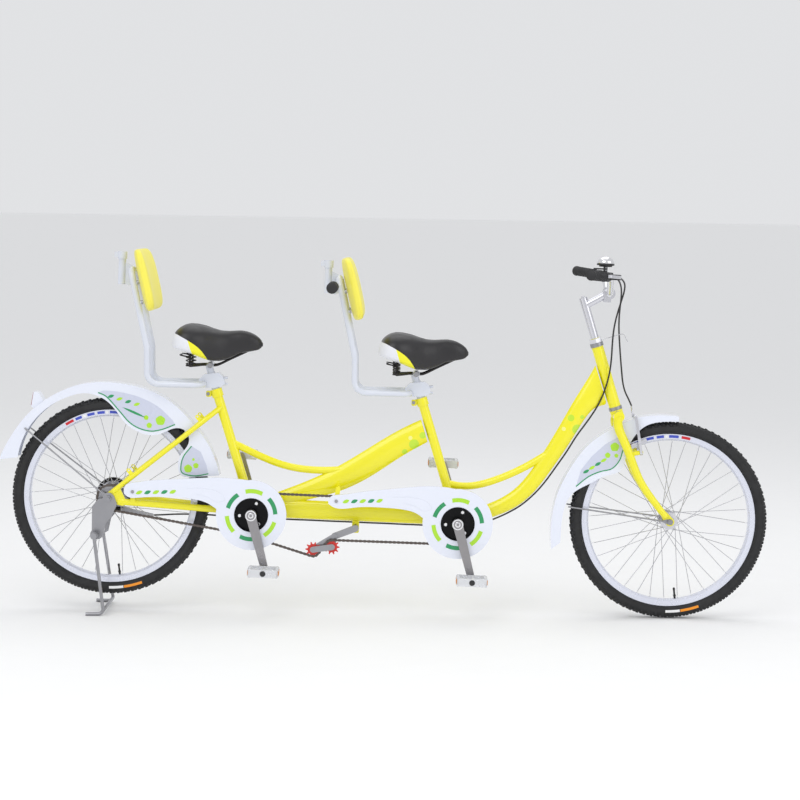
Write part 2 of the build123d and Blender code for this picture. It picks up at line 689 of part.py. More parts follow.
def make_crankset(crank, chain_lines):
    """Spindle, two crank arms, pedal spindles, chain wheels and their bolts."""
    x, _, z = crank
    solids = [crosswise_rod(x, z, -CRANK_OUTER_Y + 3, CRANK_OUTER_Y - 3, SPINDLE_RADIUS).solids()[0]]
    bore = SPINDLE_RADIUS + 0.02
    for side in (-1, 1):
        pedal_x, pedal_z = pedal_centre(crank, side)
        hub_start = 60 if side < 0 else 66
        with BuildPart() as arm:
            outer = CRANK_OUTER_Y if side > 0 else -CRANK_INNER_Y
            add(link_plate([(x, z, 15), (pedal_x, pedal_z, 11)], outer, CRANK_THICKNESS))
            add(crosswise_rod(x, z, side * hub_start, side * CRANK_OUTER_Y, 17))
            add(crosswise_rod(x, z, 0, side * (CRANK_OUTER_Y - 3), bore), mode=Mode.SUBTRACT)
            if side < 0:
                add(crosswise_rod(x, z, -60, -SHELL_WIDTH / 2 - 6, 15))
                add(crosswise_rod(x, z, 0, -62, bore), mode=Mode.SUBTRACT)
        solids.append(arm.part.solids()[0])
        solids.append(crosswise_rod(pedal_x, pedal_z, side * CRANK_OUTER_Y, side * (PEDAL_Y + 34),
                                    PEDAL_SPINDLE_RADIUS).solids()[0])
    for y in chain_lines:
        solids.append(sprocket(x, z, y, CHAINRING_TEETH, 15.02).solids()[0])
    for turn in range(3):
        angle = math.radians(68 + 120 * turn)
        bolt_x, bolt_z = x + 36 * math.cos(angle), z + 36 * math.sin(angle)
        outer_face = min(chain_lines) - TOOTH_THICKNESS / 2
        solids.append(crosswise_rod(bolt_x, bolt_z, outer_face, outer_face - 3, 5).solids()[0])
        if len(chain_lines) > 1:
            solids.append(crosswise_rod(bolt_x, bolt_z, chain_lines[0] - TOOTH_THICKNESS / 2,
                                        chain_lines[1] + TOOTH_THICKNESS / 2, 6).solids()[0])
    return Compound(children=solids)


pieces["rear_crankset"] = make_crankset(REAR_CRANK, (DRIVE_CHAIN_Y, SYNC_CHAIN_Y))
pieces["front_crankset"] = make_crankset(FRONT_CRANK, (SYNC_CHAIN_Y,))


def make_pedal(crank, side):
    """Platform pedal with a barrel on the spindle, two windows and two reflectors."""
    x, z = pedal_centre(crank, side)
    inner, outer = side * (PEDAL_Y - PEDAL_WIDTH / 2), side * (PEDAL_Y + PEDAL_WIDTH / 2)
    with BuildPart() as body:
        with BuildSketch(Plane(origin=(x, side * PEDAL_Y, z - PEDAL_HEIGHT / 2))):
            RectangleRounded(PEDAL_LENGTH - 6, PEDAL_WIDTH, 12)
            for step in (-1, 1):
                with Locations((step * 24, 0)):
                    RectangleRounded(24, PEDAL_WIDTH - 18, 5, mode=Mode.SUBTRACT)
        extrude(amount=PEDAL_HEIGHT)
        add(crosswise_rod(x, z, inner, outer, PEDAL_SPINDLE_RADIUS + RUNNING_CLEARANCE), mode=Mode.SUBTRACT)
        for face in (-1, 1):
            with BuildSketch(Plane(origin=(x + face * (PEDAL_LENGTH / 2 - 3), side * PEDAL_Y, z),
                                   x_dir=(0, 1, 0), z_dir=(face, 0, 0))):
                RectangleRounded(52, 16, 3)
            extrude(amount=-3, mode=Mode.SUBTRACT)
    reflectors = []
    for face in (-1, 1):
        with BuildPart() as reflector:
            with BuildSketch(Plane(origin=(x + face * (PEDAL_LENGTH / 2 - 6), side * PEDAL_Y, z),
                                   x_dir=(0, 1, 0), z_dir=(face, 0, 0))):
                RectangleRounded(51.6, 15.6, 2.8)
            extrude(amount=6)
        reflectors.append(reflector.part.solids()[0])
    return Compound(children=list(body.part.solids()) + reflectors)


for prefix, crank in (("rear", REAR_CRANK), ("front", FRONT_CRANK)):
    for word, side in (("right", -1), ("left", 1)):
        pieces[f"{prefix}_{word}_pedal"] = make_pedal(crank, side)

# ---------------------------------------------------------------- chains and tensioner
TENSION_PULLEY = (616.0, -129.0)
GUIDE_PULLEY = (672.0, -119.0)
TENSIONER_PIVOT = (678.0, -88.0)
TENSIONER_BOLT = (HANGER_X, -62.0)
ring_radius = pitch_radius(CHAINRING_TEETH)
pulley_radius = pitch_radius(PULLEY_TEETH)

sync_wheels = (
    (REAR_CRANK[0], REAR_CRANK[2], ring_radius), (FRONT_CRANK[0], FRONT_CRANK[2], ring_radius),
    (*GUIDE_PULLEY, -pulley_radius), (*TENSION_PULLEY, pulley_radius),
)
drive_wheels = ((0.0, 0.0, pitch_radius(FREEWHEEL_TEETH)), (REAR_CRANK[0], REAR_CRANK[2], ring_radius))
pieces["chains"] = Compound(children=[
    chain(sync_wheels, SYNC_CHAIN_Y).solids()[0], chain(drive_wheels, DRIVE_CHAIN_Y).solids()[0],
])

CAGE_GAP = 5.0
CAGE_WALL = 2.0
PULLEY_BOLT_RADIUS = 3.0
with BuildPart() as tensioner_body:
    add(link_plate([(*TENSIONER_BOLT, 10), (*TENSIONER_PIVOT, 9.5)], -39, 9))
    add(crosswise_rod(*TENSIONER_BOLT, -2.5 - 0.1, -39, 8.5))
    add(crosswise_rod(*TENSIONER_PIVOT, -48, SYNC_CHAIN_Y + CAGE_GAP, 5))
    add(crosswise_rod(*TENSIONER_BOLT, 9, -3, 5))
    add(crosswise_rod(*TENSIONER_BOLT, 2.6, 9, 8))
pieces["tensioner_body"] = tensioner_body.part

cage_inner_y = SYNC_CHAIN_Y + CAGE_GAP + CAGE_WALL
with BuildPart() as tensioner_cage:
    add(link_plate([(*TENSION_PULLEY, 9), (*GUIDE_PULLEY, 9), (*TENSIONER_PIVOT, 9)], cage_inner_y, CAGE_WALL))
    add(crosswise_rod(*TENSIONER_PIVOT, cage_inner_y + 1, cage_inner_y - CAGE_WALL - 1, 5 + RUNNING_CLEARANCE),
        mode=Mode.SUBTRACT)
    add(link_plate([(*TENSION_PULLEY, 9), (*GUIDE_PULLEY, 9)], SYNC_CHAIN_Y - CAGE_GAP, CAGE_WALL))
    for pulley in (TENSION_PULLEY, GUIDE_PULLEY):
        add(crosswise_rod(*pulley, cage_inner_y, SYNC_CHAIN_Y - CAGE_GAP - CAGE_WALL - 1.5, PULLEY_BOLT_RADIUS))
pieces["tensioner_cage"] = tensioner_cage.part

for name, pulley in (("tension_pulley", TENSION_PULLEY), ("guide_pulley", GUIDE_PULLEY)):
    pulley_bore = PULLEY_BOLT_RADIUS + RUNNING_CLEARANCE
    with BuildPart() as wheel:
        add(sprocket(*pulley, SYNC_CHAIN_Y, PULLEY_TEETH, pulley_bore))
        add(crosswise_rod(*pulley, SYNC_CHAIN_Y - CAGE_GAP + SEAT_GAP, SYNC_CHAIN_Y + CAGE_GAP - SEAT_GAP, 8,
                          pulley_bore))
    pieces[name] = wheel.part

# ---------------------------------------------------------------- chain guards
GUARD_INNER_Y = GUARD_FACE_Y + GUARD_DEPTH - GUARD_WALL
GUARD_SCREW_RADIUS = 2.5
REAR_GUARD_UPPER = ((46, 30), (52, 44), (74, 52), (124, 60), (222, 69), (329, 77), (412, 73))
REAR_GUARD_LOWER = ((380, -66), (330, -22), (297, -1), (242, 11), (150, 12), (90, 7), (62, 7), (47, 18))
FRONT_GUARD_UPPER = ((656, 24), (662, 34), (690, 42), (760, 54), (860, 68), (958, 79), (1035, 73))
FRONT_GUARD_LOWER = ((1000, -66), (950, -26), (920, -4), (892, 4), (818, 9), (740, 6), (672, 4), (657, 14))


def shifted(points, distance):
    """Move a row of side-view points to the right of their travel by a distance."""
    moved = []
    for index, (x, z) in enumerate(points):
        before = points[max(index - 1, 0)]
        after = points[min(index + 1, len(points) - 1)]
        run = math.dist(before, after)
        moved.append((x + distance * (after[1] - before[1]) / run, z - distance * (after[0] - before[0]) / run))
    return moved


def guard_block(crank, upper, lower, inset, depth):
    """Solid block with the outline of a chain guard, moved inwards by the inset."""
    rows = [shifted(upper, inset), shifted(lower, inset)]
    return side_prism(rows, GUARD_INNER_Y, depth, [(crank[0], crank[2], GUARD_RADIUS - inset)])


def make_guard(crank, upper, lower, screw):
    """Chain guard: a face plate with a turned-in rim, a round hole and a screw boss."""
    x, _, z = crank
    with BuildPart() as guard:
        add(guard_block(crank, upper, lower, 0.0, GUARD_DEPTH))
        add(guard_block(crank, upper, lower, GUARD_WALL, GUARD_DEPTH - GUARD_WALL), mode=Mode.SUBTRACT)
        add(crosswise_rod(x, z, GUARD_INNER_Y + 1, GUARD_FACE_Y - 5, GUARD_HOLE_RADIUS), mode=Mode.SUBTRACT)
        add(crosswise_rod(*screw, -67.5, GUARD_FACE_Y - GUARD_WALL, 6))
        add(crosswise_rod(*screw, -60, GUARD_FACE_Y - 10, GUARD_SCREW_RADIUS + 0.1), mode=Mode.SUBTRACT)
    return guard.part


REAR_GUARD_SCREW = (72.0, 24.0)
FRONT_GUARD_SCREW = (680.0, 22.0)
pieces["rear_chain_guard"] = make_guard(REAR_CRANK, REAR_GUARD_UPPER, REAR_GUARD_LOWER, REAR_GUARD_SCREW)
pieces["front_chain_guard"] = make_guard(FRONT_CRANK, FRONT_GUARD_UPPER, FRONT_GUARD_LOWER, FRONT_GUARD_SCREW)

# ---------------------------------------------------------------- steering
HEAD_AXIS = (Vector(*HEAD_TOP) - Vector(*HEAD_BOTTOM)).normalized()


def head_point(height):
    """Point on the steering axis, measured up from the bottom of the head tube."""
    spot = Vector(*HEAD_BOTTOM) + HEAD_AXIS * height
    return (spot.X, spot.Y, spot.Z)


HEAD_LENGTH = math.dist(HEAD_TOP, HEAD_BOTTOM)
UPPER_CUP_TOP = HEAD_LENGTH + CUP_HEIGHT + 2
CROWN_DROP = 27.5
CROWN = head_point(-CROWN_DROP)
CROWN_RADIUS_BAR = 16.0
STEM_TOP = (1391.0, 0.0, 657.0)
BAR_CENTRE = (1467.0, 0.0, 674.0)
BAR_BEND_Y = 38.0
BAR_RISE_POINT = (1462.0, 92.0, 724.0)
BAR_END = (1389.0, BAR_HALF_WIDTH, 731.0)
FORK_LEG = (
    (1512, 47, 309, 14), (1529, 48, 240, 13.5), (1552, 49, 190, 13), (1574, 50, 139, 12.4),
    (1605, 51, 89, 11.6), (1646, 52.5, 39, 10.4), (1668, 52.5, 14, 9.6),
)
BRAKE_PIVOT = (1584.0, 204.0)
BRAKE_TOP = (1563.0, 310.0)
BRAKE_PIVOT_Y = 43.0
BRAKE_ARM_TOP_Y = 41.0
BRAKE_BOSS_RADIUS = 4.0
BRAKE_ARM_THICKNESS = 8.0
PAD_HEIGHT_UP_ARM = 26.0
PAD_FACE_Y = 15.5

brake_length = math.dist(BRAKE_PIVOT, BRAKE_TOP)
brake_up = Vector(BRAKE_TOP[0] - BRAKE_PIVOT[0], 0, BRAKE_TOP[1] - BRAKE_PIVOT[1]).normalized()
brake_forward = Vector(brake_up.Z, 0, -brake_up.X)


def brake_point(across, up, forward):
    """Point in the frame of the rim brake, from the middle of its two pivots."""
    spot = Vector(BRAKE_PIVOT[0], across, BRAKE_PIVOT[1]) + brake_up * up + brake_forward * forward
    return (spot.X, spot.Y, spot.Z)


with BuildPart() as fork:
    add(crosswise_rod(CROWN[0], CROWN[2], -56, 56, CROWN_RADIUS_BAR))
    add(rod(CROWN, head_point(UPPER_CUP_TOP + 14), STEERER_RADIUS))
    add(rod(CROWN, head_point(-CUP_HEIGHT - 0.3), CUP_RADIUS - 0.5))
    for side in (1, -1):
        centres = [(x, side * y, z) for x, y, z, _ in FORK_LEG]
        planes = section_planes(centres)
        add(lofted_tube(planes, [(2 * radius, 2 * radius) for _, _, _, radius in FORK_LEG]))
        plate_y = FRONT_DROPOUT_Y + DROPOUT_THICKNESS if side > 0 else -FRONT_DROPOUT_Y
        add(link_plate([(WHEELBASE, 0, 13), (WHEELBASE - 25, 29, 9)], plate_y, DROPOUT_THICKNESS))
        add(crosswise_rod(WHEELBASE, 0, side * 48, side * 64, AXLE_RADIUS + 0.1), mode=Mode.SUBTRACT)
        add(rod(brake_point(side * BRAKE_PIVOT_Y, 0, -40), brake_point(side * BRAKE_PIVOT_Y, 0, -4.5), 7))
        add(rod(brake_point(side * BRAKE_PIVOT_Y, 0, -5), brake_point(side * BRAKE_PIVOT_Y, 0, 6),
                BRAKE_BOSS_RADIUS))
    add(rod(head_point(-CROWN_DROP), head_point(UPPER_CUP_TOP + 20), STEERER_BORE), mode=Mode.SUBTRACT)
pieces["fork"] = max(fork.part.solids(), key=lambda solid: solid.volume)

# Stem: quill, post, forward extension and bar clamp; with it the headset nut and cable guide.
with BuildPart() as stem_body:
    add(rod(head_point(HEAD_LENGTH - 60), STEM_TOP, 11.1))
    add(rod(head_point(UPPER_CUP_TOP + 16), STEM_TOP, 12.5))
    add(rod((1399, 0, 634), BAR_CENTRE, 12.0))
    add(crosswise_rod(BAR_CENTRE[0], BAR_CENTRE[2], -21, 21, 18.5))
    add(rod(beyond(HEAD_TOP, STEM_TOP, -1), beyond(HEAD_TOP, STEM_TOP, 5), 5))
    with BuildSketch(side_plane(12)):
        with Locations((BAR_CENTRE[0] - 4, BAR_CENTRE[2] - 20)):
            Rectangle(22, 14)
    extrude(amount=24)
    add(crosswise_rod(BAR_CENTRE[0], BAR_CENTRE[2], -30, 30, BAR_RADIUS + 0.02), mode=Mode.SUBTRACT)
nut_low, nut_top = head_point(UPPER_CUP_TOP + 0.3), head_point(UPPER_CUP_TOP + 13)
with BuildPart() as headset_nut:
    with BuildSketch(Plane(origin=nut_low, x_dir=(0, 1, 0), z_dir=HEAD_AXIS)):
        RegularPolygon(20, 6)
        Circle(STEERER_RADIUS + 0.02, mode=Mode.SUBTRACT)
    extrude(amount=math.dist(nut_low, nut_top))
    add(bent_rod([(1450, 15, 533), (1500, 22, 552), (1528, 14, 541), (1528, -14, 541), (1500, -22, 552),
                  (1450, -15, 533)], 2.2, 7))
    add(rod(head_point(UPPER_CUP_TOP), head_point(UPPER_CUP_TOP + 30), STEERER_RADIUS + 0.02), mode=Mode.SUBTRACT)
    add(rod(head_point(HEAD_LENGTH), head_point(UPPER_CUP_TOP + 0.3), 40), mode=Mode.SUBTRACT)
pieces["stem"] = Compound(children=[stem_body.part.solids()[0],
                                    max(headset_nut.part.solids(), key=lambda solid: solid.volume)])


def mirrored(point, side):
    """The point on one side of the bicycle."""
    return (point[0], side * point[1], point[2])


handlebar_route = [
    mirrored(BAR_END, -1), mirrored(BAR_RISE_POINT, -1), (BAR_CENTRE[0], -BAR_BEND_Y, BAR_CENTRE[2]),
    (BAR_CENTRE[0], BAR_BEND_Y, BAR_CENTRE[2]), BAR_RISE_POINT, BAR_END,
]
pieces["handlebar"] = bent_rod(handlebar_route, BAR_RADIUS, 24, BAR_RADIUS - 2.2)

with BuildPart() as grips:
    for side in (1, -1):
        end, rise = mirrored(BAR_END, side), mirrored(BAR_RISE_POINT, side)
        add(rod(beyond(rise, end, -GRIP_LENGTH), beyond(rise, end, 4), GRIP_RADIUS))
        add(rod(beyond(rise, end, 1), beyond(rise, end, 5), GRIP_RADIUS + 2))
        add(rod(rise, end, BAR_RADIUS + 0.02), mode=Mode.SUBTRACT)
pieces["grips"] = Compound(children=grips.part.solids())

# Brake levers on each side of the bar.
LEVER_PIVOT_ALONG = 38.0
LEVER_PIVOT_AHEAD = 32.0
LEVER_PIN_RADIUS = 2.5
LEVER_THICKNESS = 9.0


def lever_plane(side):
    """Plane of one brake lever: local x outwards along the bar, local y forwards."""
    rise, end = Vector(*mirrored(BAR_RISE_POINT, side)), Vector(*mirrored(BAR_END, side))
    along = (end - rise).normalized()
    ahead = Vector(along.Y * side, -along.X * side, 0).normalized()
    return Plane(origin=rise, x_dir=along, z_dir=along.cross(ahead))


def lever_point(side, along, ahead, up=0.0):
    """World position of a point in the lever plane."""
    plane = lever_plane(side)
    spot = plane.from_local_coords(Vector(along, ahead, -up * side))
    return (spot.X, spot.Y, spot.Z)


def hull_prism(plane, circles, thickness):
    """Prism whose outline wraps circles (x, y, radius) in a plane, centred on the plane."""
    with BuildPart() as prism:
        with BuildSketch(plane.offset(-thickness / 2)):
            for x, y, radius in circles:
                with Locations((x, y)):
                    Circle(radius)
            make_hull()
        extrude(amount=thickness)
    return prism.part


mount_solids = []
for side in (1, -1):
    plane = lever_plane(side)
    with BuildPart() as bracket:
        add(rod(lever_point(side, LEVER_PIVOT_ALONG - 9, 0), lever_point(side, LEVER_PIVOT_ALONG + 9, 0),
                BAR_RADIUS + 3.5))
        add(hull_prism(plane, [(LEVER_PIVOT_ALONG - 6, 10, 8), (LEVER_PIVOT_ALONG - 14, 32, 7),
                               (LEVER_PIVOT_ALONG + 1, LEVER_PIVOT_AHEAD, 7)], 16))
        add(hull_prism(plane, [(LEVER_PIVOT_ALONG, LEVER_PIVOT_AHEAD, 10),
                               (LEVER_PIVOT_ALONG + 30, LEVER_PIVOT_AHEAD + 4, 9.5)], LEVER_THICKNESS + 0.6),
            mode=Mode.SUBTRACT)
        add(rod(lever_point(side, LEVER_PIVOT_ALONG, LEVER_PIVOT_AHEAD, -8),
                lever_point(side, LEVER_PIVOT_ALONG, LEVER_PIVOT_AHEAD, 8), LEVER_PIN_RADIUS))
        add(rod(lever_point(side, LEVER_PIVOT_ALONG - 30, 0), lever_point(side, LEVER_PIVOT_ALONG + 30, 0),
                BAR_RADIUS + 0.02), mode=Mode.SUBTRACT)
    mount_solids.extend(bracket.part.solids())
    with BuildPart() as lever:
        add(hull_prism(plane, [(LEVER_PIVOT_ALONG, LEVER_PIVOT_AHEAD, 7), (66, 46, 6)], LEVER_THICKNESS))
        add(hull_prism(plane, [(66, 46, 6), (120, 51, 5.5)], LEVER_THICKNESS))
        add(hull_prism(plane, [(120, 51, 5.5), (170, 49, 5)], LEVER_THICKNESS))
        add(hull_prism(plane, [(170, 49, 5), (178, 52, 6.5)], LEVER_THICKNESS))
        add(rod(lever_point(side, LEVER_PIVOT_ALONG, LEVER_PIVOT_AHEAD, -9),
                lever_point(side, LEVER_PIVOT_ALONG, LEVER_PIVOT_AHEAD, 9), LEVER_PIN_RADIUS + RUNNING_CLEARANCE),
            mode=Mode.SUBTRACT)
    pieces[("left" if side > 0 else "right") + "_brake_lever"] = lever.part
pieces["lever_mounts"] = Compound(children=mount_solids)

# Bell on the right half of the bar, with its thumb lever.
BELL_ALONG = 57.0
BELL_RADIUS = 26.0
bell_foot = lever_point(-1, BELL_ALONG, 0)
BELL_BASE_Z = bell_foot[2] + 36.0
with BuildPart() as bell:
    add(rod(lever_point(-1, BELL_ALONG - 5, 0), lever_point(-1, BELL_ALONG + 5, 0), BAR_RADIUS + 3))
    add(rod(bell_foot, (bell_foot[0], bell_foot[1], BELL_BASE_Z + 2), 6))
    with BuildSketch(Plane(origin=(bell_foot[0], bell_foot[1], BELL_BASE_Z), x_dir=(1, 0, 0), z_dir=(0, -1, 0))):
        with BuildLine():
            Polyline((0, -7), (19, -7), (19, -3), (BELL_RADIUS, -3), (BELL_RADIUS, 3))
            ThreePointArc((BELL_RADIUS, 3), (21, 16.5), (6, 25))
            Line((6, 25), (0, 25))
            Line((0, 25), (0, -7))
        make_face()
    revolve(axis=Axis((bell_foot[0], bell_foot[1], 0), (0, 0, 1)))
    add(rod((bell_foot[0], bell_foot[1] - 14, BELL_BASE_Z - 19), (bell_foot[0], bell_foot[1] - 14, BELL_BASE_Z - 5), 2.5))
    add(rod(lever_point(-1, BELL_ALONG - 8, 0), lever_point(-1, BELL_ALONG + 8, 0), BAR_RADIUS + 0.02),
        mode=Mode.SUBTRACT)
pieces["bell"] = bell.part
BELL_LEVER_PIVOT = (bell_foot[0], bell_foot[1] - 14, BELL_BASE_Z - 13)
with BuildPart() as bell_lever:
    with BuildSketch(Plane(origin=(bell_foot[0], bell_foot[1] - 14, BELL_BASE_Z - 15))):
        with Locations((0, 0)):
            Circle(5)
        with Locations((-32, -4)):
            Circle(4.5)
        make_hull()
        with Locations((0, 0)):
            Circle(2.5 + RUNNING_CLEARANCE, mode=Mode.SUBTRACT)
    extrude(amount=4)
pieces["bell_lever"] = bell_lever.part


def make_brake_arm(side):
    """Rim brake arm with its shoe, shoe post and, on the left, the curved cable pipe."""
    face = Plane(origin=brake_point(0, 0, 0), x_dir=(0, 1, 0), z_dir=brake_forward)
    with BuildPart() as arm:
        add(hull_prism(face, [(side * BRAKE_PIVOT_Y, 0, 8.5), (side * 47, 46, 6)], BRAKE_ARM_THICKNESS))
        add(hull_prism(face, [(side * 47, 46, 6), (side * BRAKE_ARM_TOP_Y, brake_length, 5)], BRAKE_ARM_THICKNESS))
        add(rod(brake_point(side * (PAD_FACE_Y + 5), PAD_HEIGHT_UP_ARM, 0),
                brake_point(side * 55, PAD_HEIGHT_UP_ARM, 0), 3.2))
        pad_x, _, pad_z = brake_point(0, PAD_HEIGHT_UP_ARM, 0)
        radial = Vector(pad_x - WHEELBASE, 0, pad_z).normalized()
        pad_y = side * PAD_FACE_Y
        with BuildSketch(Plane(origin=(pad_x, pad_y, pad_z), x_dir=(radial.Z, 0, -radial.X), z_dir=(0, side, 0))):
            RectangleRounded(50, 11, 4)
        extrude(amount=9)
        if side > 0:
            add(bent_rod([(BRAKE_TOP[0], BRAKE_ARM_TOP_Y, BRAKE_TOP[1]), (BRAKE_TOP[0], 61, BRAKE_TOP[1]),
                          (1559, 62, 334)], 2.8, 13))
        add(rod(brake_point(side * BRAKE_PIVOT_Y, 0, -20), brake_point(side * BRAKE_PIVOT_Y, 0, 20),
                BRAKE_BOSS_RADIUS + RUNNING_CLEARANCE), mode=Mode.SUBTRACT)
    return arm.part


pieces["left_brake_arm"] = make_brake_arm(1)
pieces["right_brake_arm"] = make_brake_arm(-1)

# ---------------------------------------------------------------- fenders
FRONT_FENDER_OUTER = (
    (1331, -101), (1327, -23), (1332, 25), (1343, 72), (1364, 122), (1396, 179), (1434, 225), (1476, 258),
    (1520, 284), (1567, 305), (1625, 316), (1694, 315),
)
FRONT_FENDER_SKIRT = (
    (1694, 300), (1640, 297), (1596, 283), (1566, 254), (1549, 222), (1540, 186), (1535, 158), (1524, 143),
    (1481, 127), (1446, 107), (1411, 88), (1380, 62), (1364, 24), (1358, -20), (1357, -80),
)
REAR_FENDER_OUTER = (
    (-336, 98), (-320, 138), (-292, 188), (-262, 230), (-225, 267), (-180, 299), (-139, 320), (-92, 336),
    (-30, 344), (30, 341), (93, 329), (156, 303), (204, 268), (248, 223), (286, 174), (314, 118), (325, 78),
)
REAR_FENDER_SKIRT = (
    (229, 69), (207, 78), (200, 104), (208, 137), (227, 165), (229, 192), (210, 213), (181, 213), (145, 196),
    (109, 191), (70, 203), (39, 223), (15, 252), (-15, 284), (-50, 303), (-91, 308), (-126, 299),
    (-174, 276), (-222, 236), (-256, 188), (-281, 107),
)


def under_crown(outer, centre, inset, y_from, width):
    """Solid block under a fender's crown line moved inwards by the inset."""
    row = shifted(outer, inset)
    return side_prism([row, [row[-1], centre, row[0]]], y_from, width)


def make_fender(outer, skirt, centre):
    """Channel-section fender with deep side skirts."""
    inner_width = FENDER_WIDTH - 2 * FENDER_WALL
    with BuildPart() as fender:
        add(side_prism([list(outer), list(skirt)], FENDER_WIDTH / 2, FENDER_WIDTH))
        add(under_crown(outer, centre, FENDER_WALL, inner_width / 2, inner_width), mode=Mode.SUBTRACT)
    return fender.part


def fender_envelope(outer, centre, gap):
    """Solid block under a fender's crown line, a little proud of it."""
    return under_crown(outer, centre, -gap, FENDER_WIDTH, 2 * FENDER_WIDTH)


front_fender_solid = make_fender(FRONT_FENDER_OUTER, FRONT_FENDER_SKIRT, (WHEELBASE, 0))
rear_fender_solid = make_fender(REAR_FENDER_OUTER, REAR_FENDER_SKIRT, (0, 0))
with BuildPart() as tail_reflector:
    with BuildSketch(side_plane(24)):
        Polygon((-246, 262), (-240, 305), (-226, 305), (-200, 262), (-220, 240), align=None)
    extrude(amount=48)
    add(fender_envelope(REAR_FENDER_OUTER, (0, 0), SEAT_GAP), mode=Mode.SUBTRACT)
pieces["front_fender"] = front_fender_solid
pieces["rear_fender"] = Compound(children=[rear_fender_solid.solids()[0], tail_reflector.part.solids()[0]])


def hex_nut(x, z, y_from, y_to, radius, bore):
    """Hexagon nut on a crosswise bolt."""
    side = 1 if y_to > y_from else -1
    with BuildPart() as nut:
        with BuildSketch(Plane(origin=(x, y_from, z), x_dir=(1, 0, 0), z_dir=(0, side, 0))):
            RegularPolygon(radius, 6)
            Circle(bore, mode=Mode.SUBTRACT)
        extrude(amount=abs(y_to - y_from))
    return nut.part.solids()[0]


front_fittings = [crosswise_rod(WHEELBASE, 0, -67, 67, AXLE_RADIUS).solids()[0]]
for side in (1, -1):
    seat = AXLE_RADIUS + 0.02
    front_fittings.append(crosswise_rod(WHEELBASE, 0, side * 46.2, side * 49.8, 8, seat).solids()[0])
    front_fittings.append(hex_nut(WHEELBASE, 0, side * 57.2, side * 65, 9, seat))
    with BuildPart() as stay:
        add(link_plate([(WHEELBASE, 0, 9), (WHEELBASE - 18, 1.5, 4)], 57 if side > 0 else -55.2, 1.8))
        add(rod((WHEELBASE - 18, side * 57.7, 1.6), (1375, side * 32.8, 30), 2.4))
        add(crosswise_rod(WHEELBASE, 0, -70, 70, seat), mode=Mode.SUBTRACT)
    front_fittings.append(stay.part.solids()[0])
with BuildPart() as fender_bracket:
    with BuildSketch(side_plane(8)):
        with Locations((CROWN[0] + 4, CROWN[2] - 22)):
            Rectangle(16, 44)
    extrude(amount=16)
    add(fender_envelope(FRONT_FENDER_OUTER, (WHEELBASE, 0), SEAT_GAP), mode=Mode.SUBTRACT)
    add(crosswise_rod(CROWN[0], CROWN[2], -20, 20, CROWN_RADIUS_BAR + SEAT_GAP), mode=Mode.SUBTRACT)
front_fittings.append(min(fender_bracket.part.solids(), key=lambda solid: abs(solid.center().Z - 286)))
pieces["front_axle_fittings"] = Compound(children=front_fittings)

rear_fittings = [crosswise_rod(0, 0, -84, 84, AXLE_RADIUS).solids()[0]]
for side in (1, -1):
    rear_fittings.append(crosswise_rod(0, 0, side * 55, side * 59.8, 8, AXLE_RADIUS + 0.02).solids()[0])
    rear_fittings.append(hex_nut(0, 0, side * 70.3, side * 79, 9.5, AXLE_RADIUS + 0.02))
    with BuildPart() as stay:
        add(link_plate([(0, 0, 9.5), (-18, 14, 4)], 67 if side > 0 else -65.2, 1.8))
        add(rod((-17, side * 66.1, 13.2), (-262, side * 32.8, 196), 2.4))
        add(crosswise_rod(0, 0, -70, 70, AXLE_RADIUS + 0.02), mode=Mode.SUBTRACT)
    rear_fittings.append(stay.part.solids()[0])
pieces["rear_axle_fittings"] = Compound(children=rear_fittings)

# ---------------------------------------------------------------- band brake on the rear hub
BAND_ARM_PIVOT = (14.0, -44.0)
BAND_ARM_END = (119.0, -62.0)
with BuildPart() as brake_cover:
    add(crosswise_rod(0, 0, 40, 52.4, 50, 47.5))
    add(crosswise_rod(0, 0, 51.3, 52.4, 48.5, AXLE_RADIUS + 0.02))
    add(link_plate([(*BAND_ARM_PIVOT, 9), (0, 0, 20)], 52.4, 1.1))
    add(crosswise_rod(*BAND_ARM_PIVOT, 51.5, 60.5, 3))
    add(link_plate([(50, -8, 5), (36, -18, 9)], 52.4, 1.1))
    add(crosswise_rod(0, 0, 45, 60, AXLE_RADIUS + 0.02), mode=Mode.SUBTRACT)
with BuildPart() as brake_band:
    add(crosswise_rod(0, 0, 41, 50.5, 44.3, 41.6))
pieces["band_brake"] = Compound(children=[brake_cover.part.solids()[0], brake_band.part.solids()[0]])
with BuildPart() as band_arm:
    add(link_plate([(*BAND_ARM_PIVOT, 7), (*BAND_ARM_END, 5)], 58.5, 3))
    add(crosswise_rod(*BAND_ARM_PIVOT, 54, 60, 3 + RUNNING_CLEARANCE), mode=Mode.SUBTRACT)
pieces["band_brake_arm"] = band_arm.part

# ---------------------------------------------------------------- stand
STAND_PIVOT = (-36.0, -110.0)
STAND_PIN_RADIUS = 6.0
STAND_ROD_RADIUS = 5.0
STAND_PLATE_Y = 67.2
STAND_PLATE = (
    (-31, -4), (-48, -26), (-46, -122), (-24, -124), (-14, -117), (-7, -78), (10, -56), (26, -17), (16, 9),
)
bracket_solids = []
for side in (1, -1):
    with BuildPart() as plate:
        with BuildSketch(side_plane(STAND_PLATE_Y + 3 if side > 0 else -STAND_PLATE_Y)):
            Polygon(*STAND_PLATE, align=None)
            with Locations(STAND_PIVOT):
                Circle(15)
            Circle(17)
            Circle(AXLE_RADIUS + 0.02, mode=Mode.SUBTRACT)
        extrude(amount=3)
        add(crosswise_rod(*STAND_PIVOT, side * (STAND_PLATE_Y + 2), side * 104, STAND_PIN_RADIUS))
        add(crosswise_rod(*STAND_PIVOT, side * 104, side * 107, 9))
    bracket_solids.append(plate.part.solids()[0])
pieces["kickstand_bracket"] = Compound(children=bracket_solids)

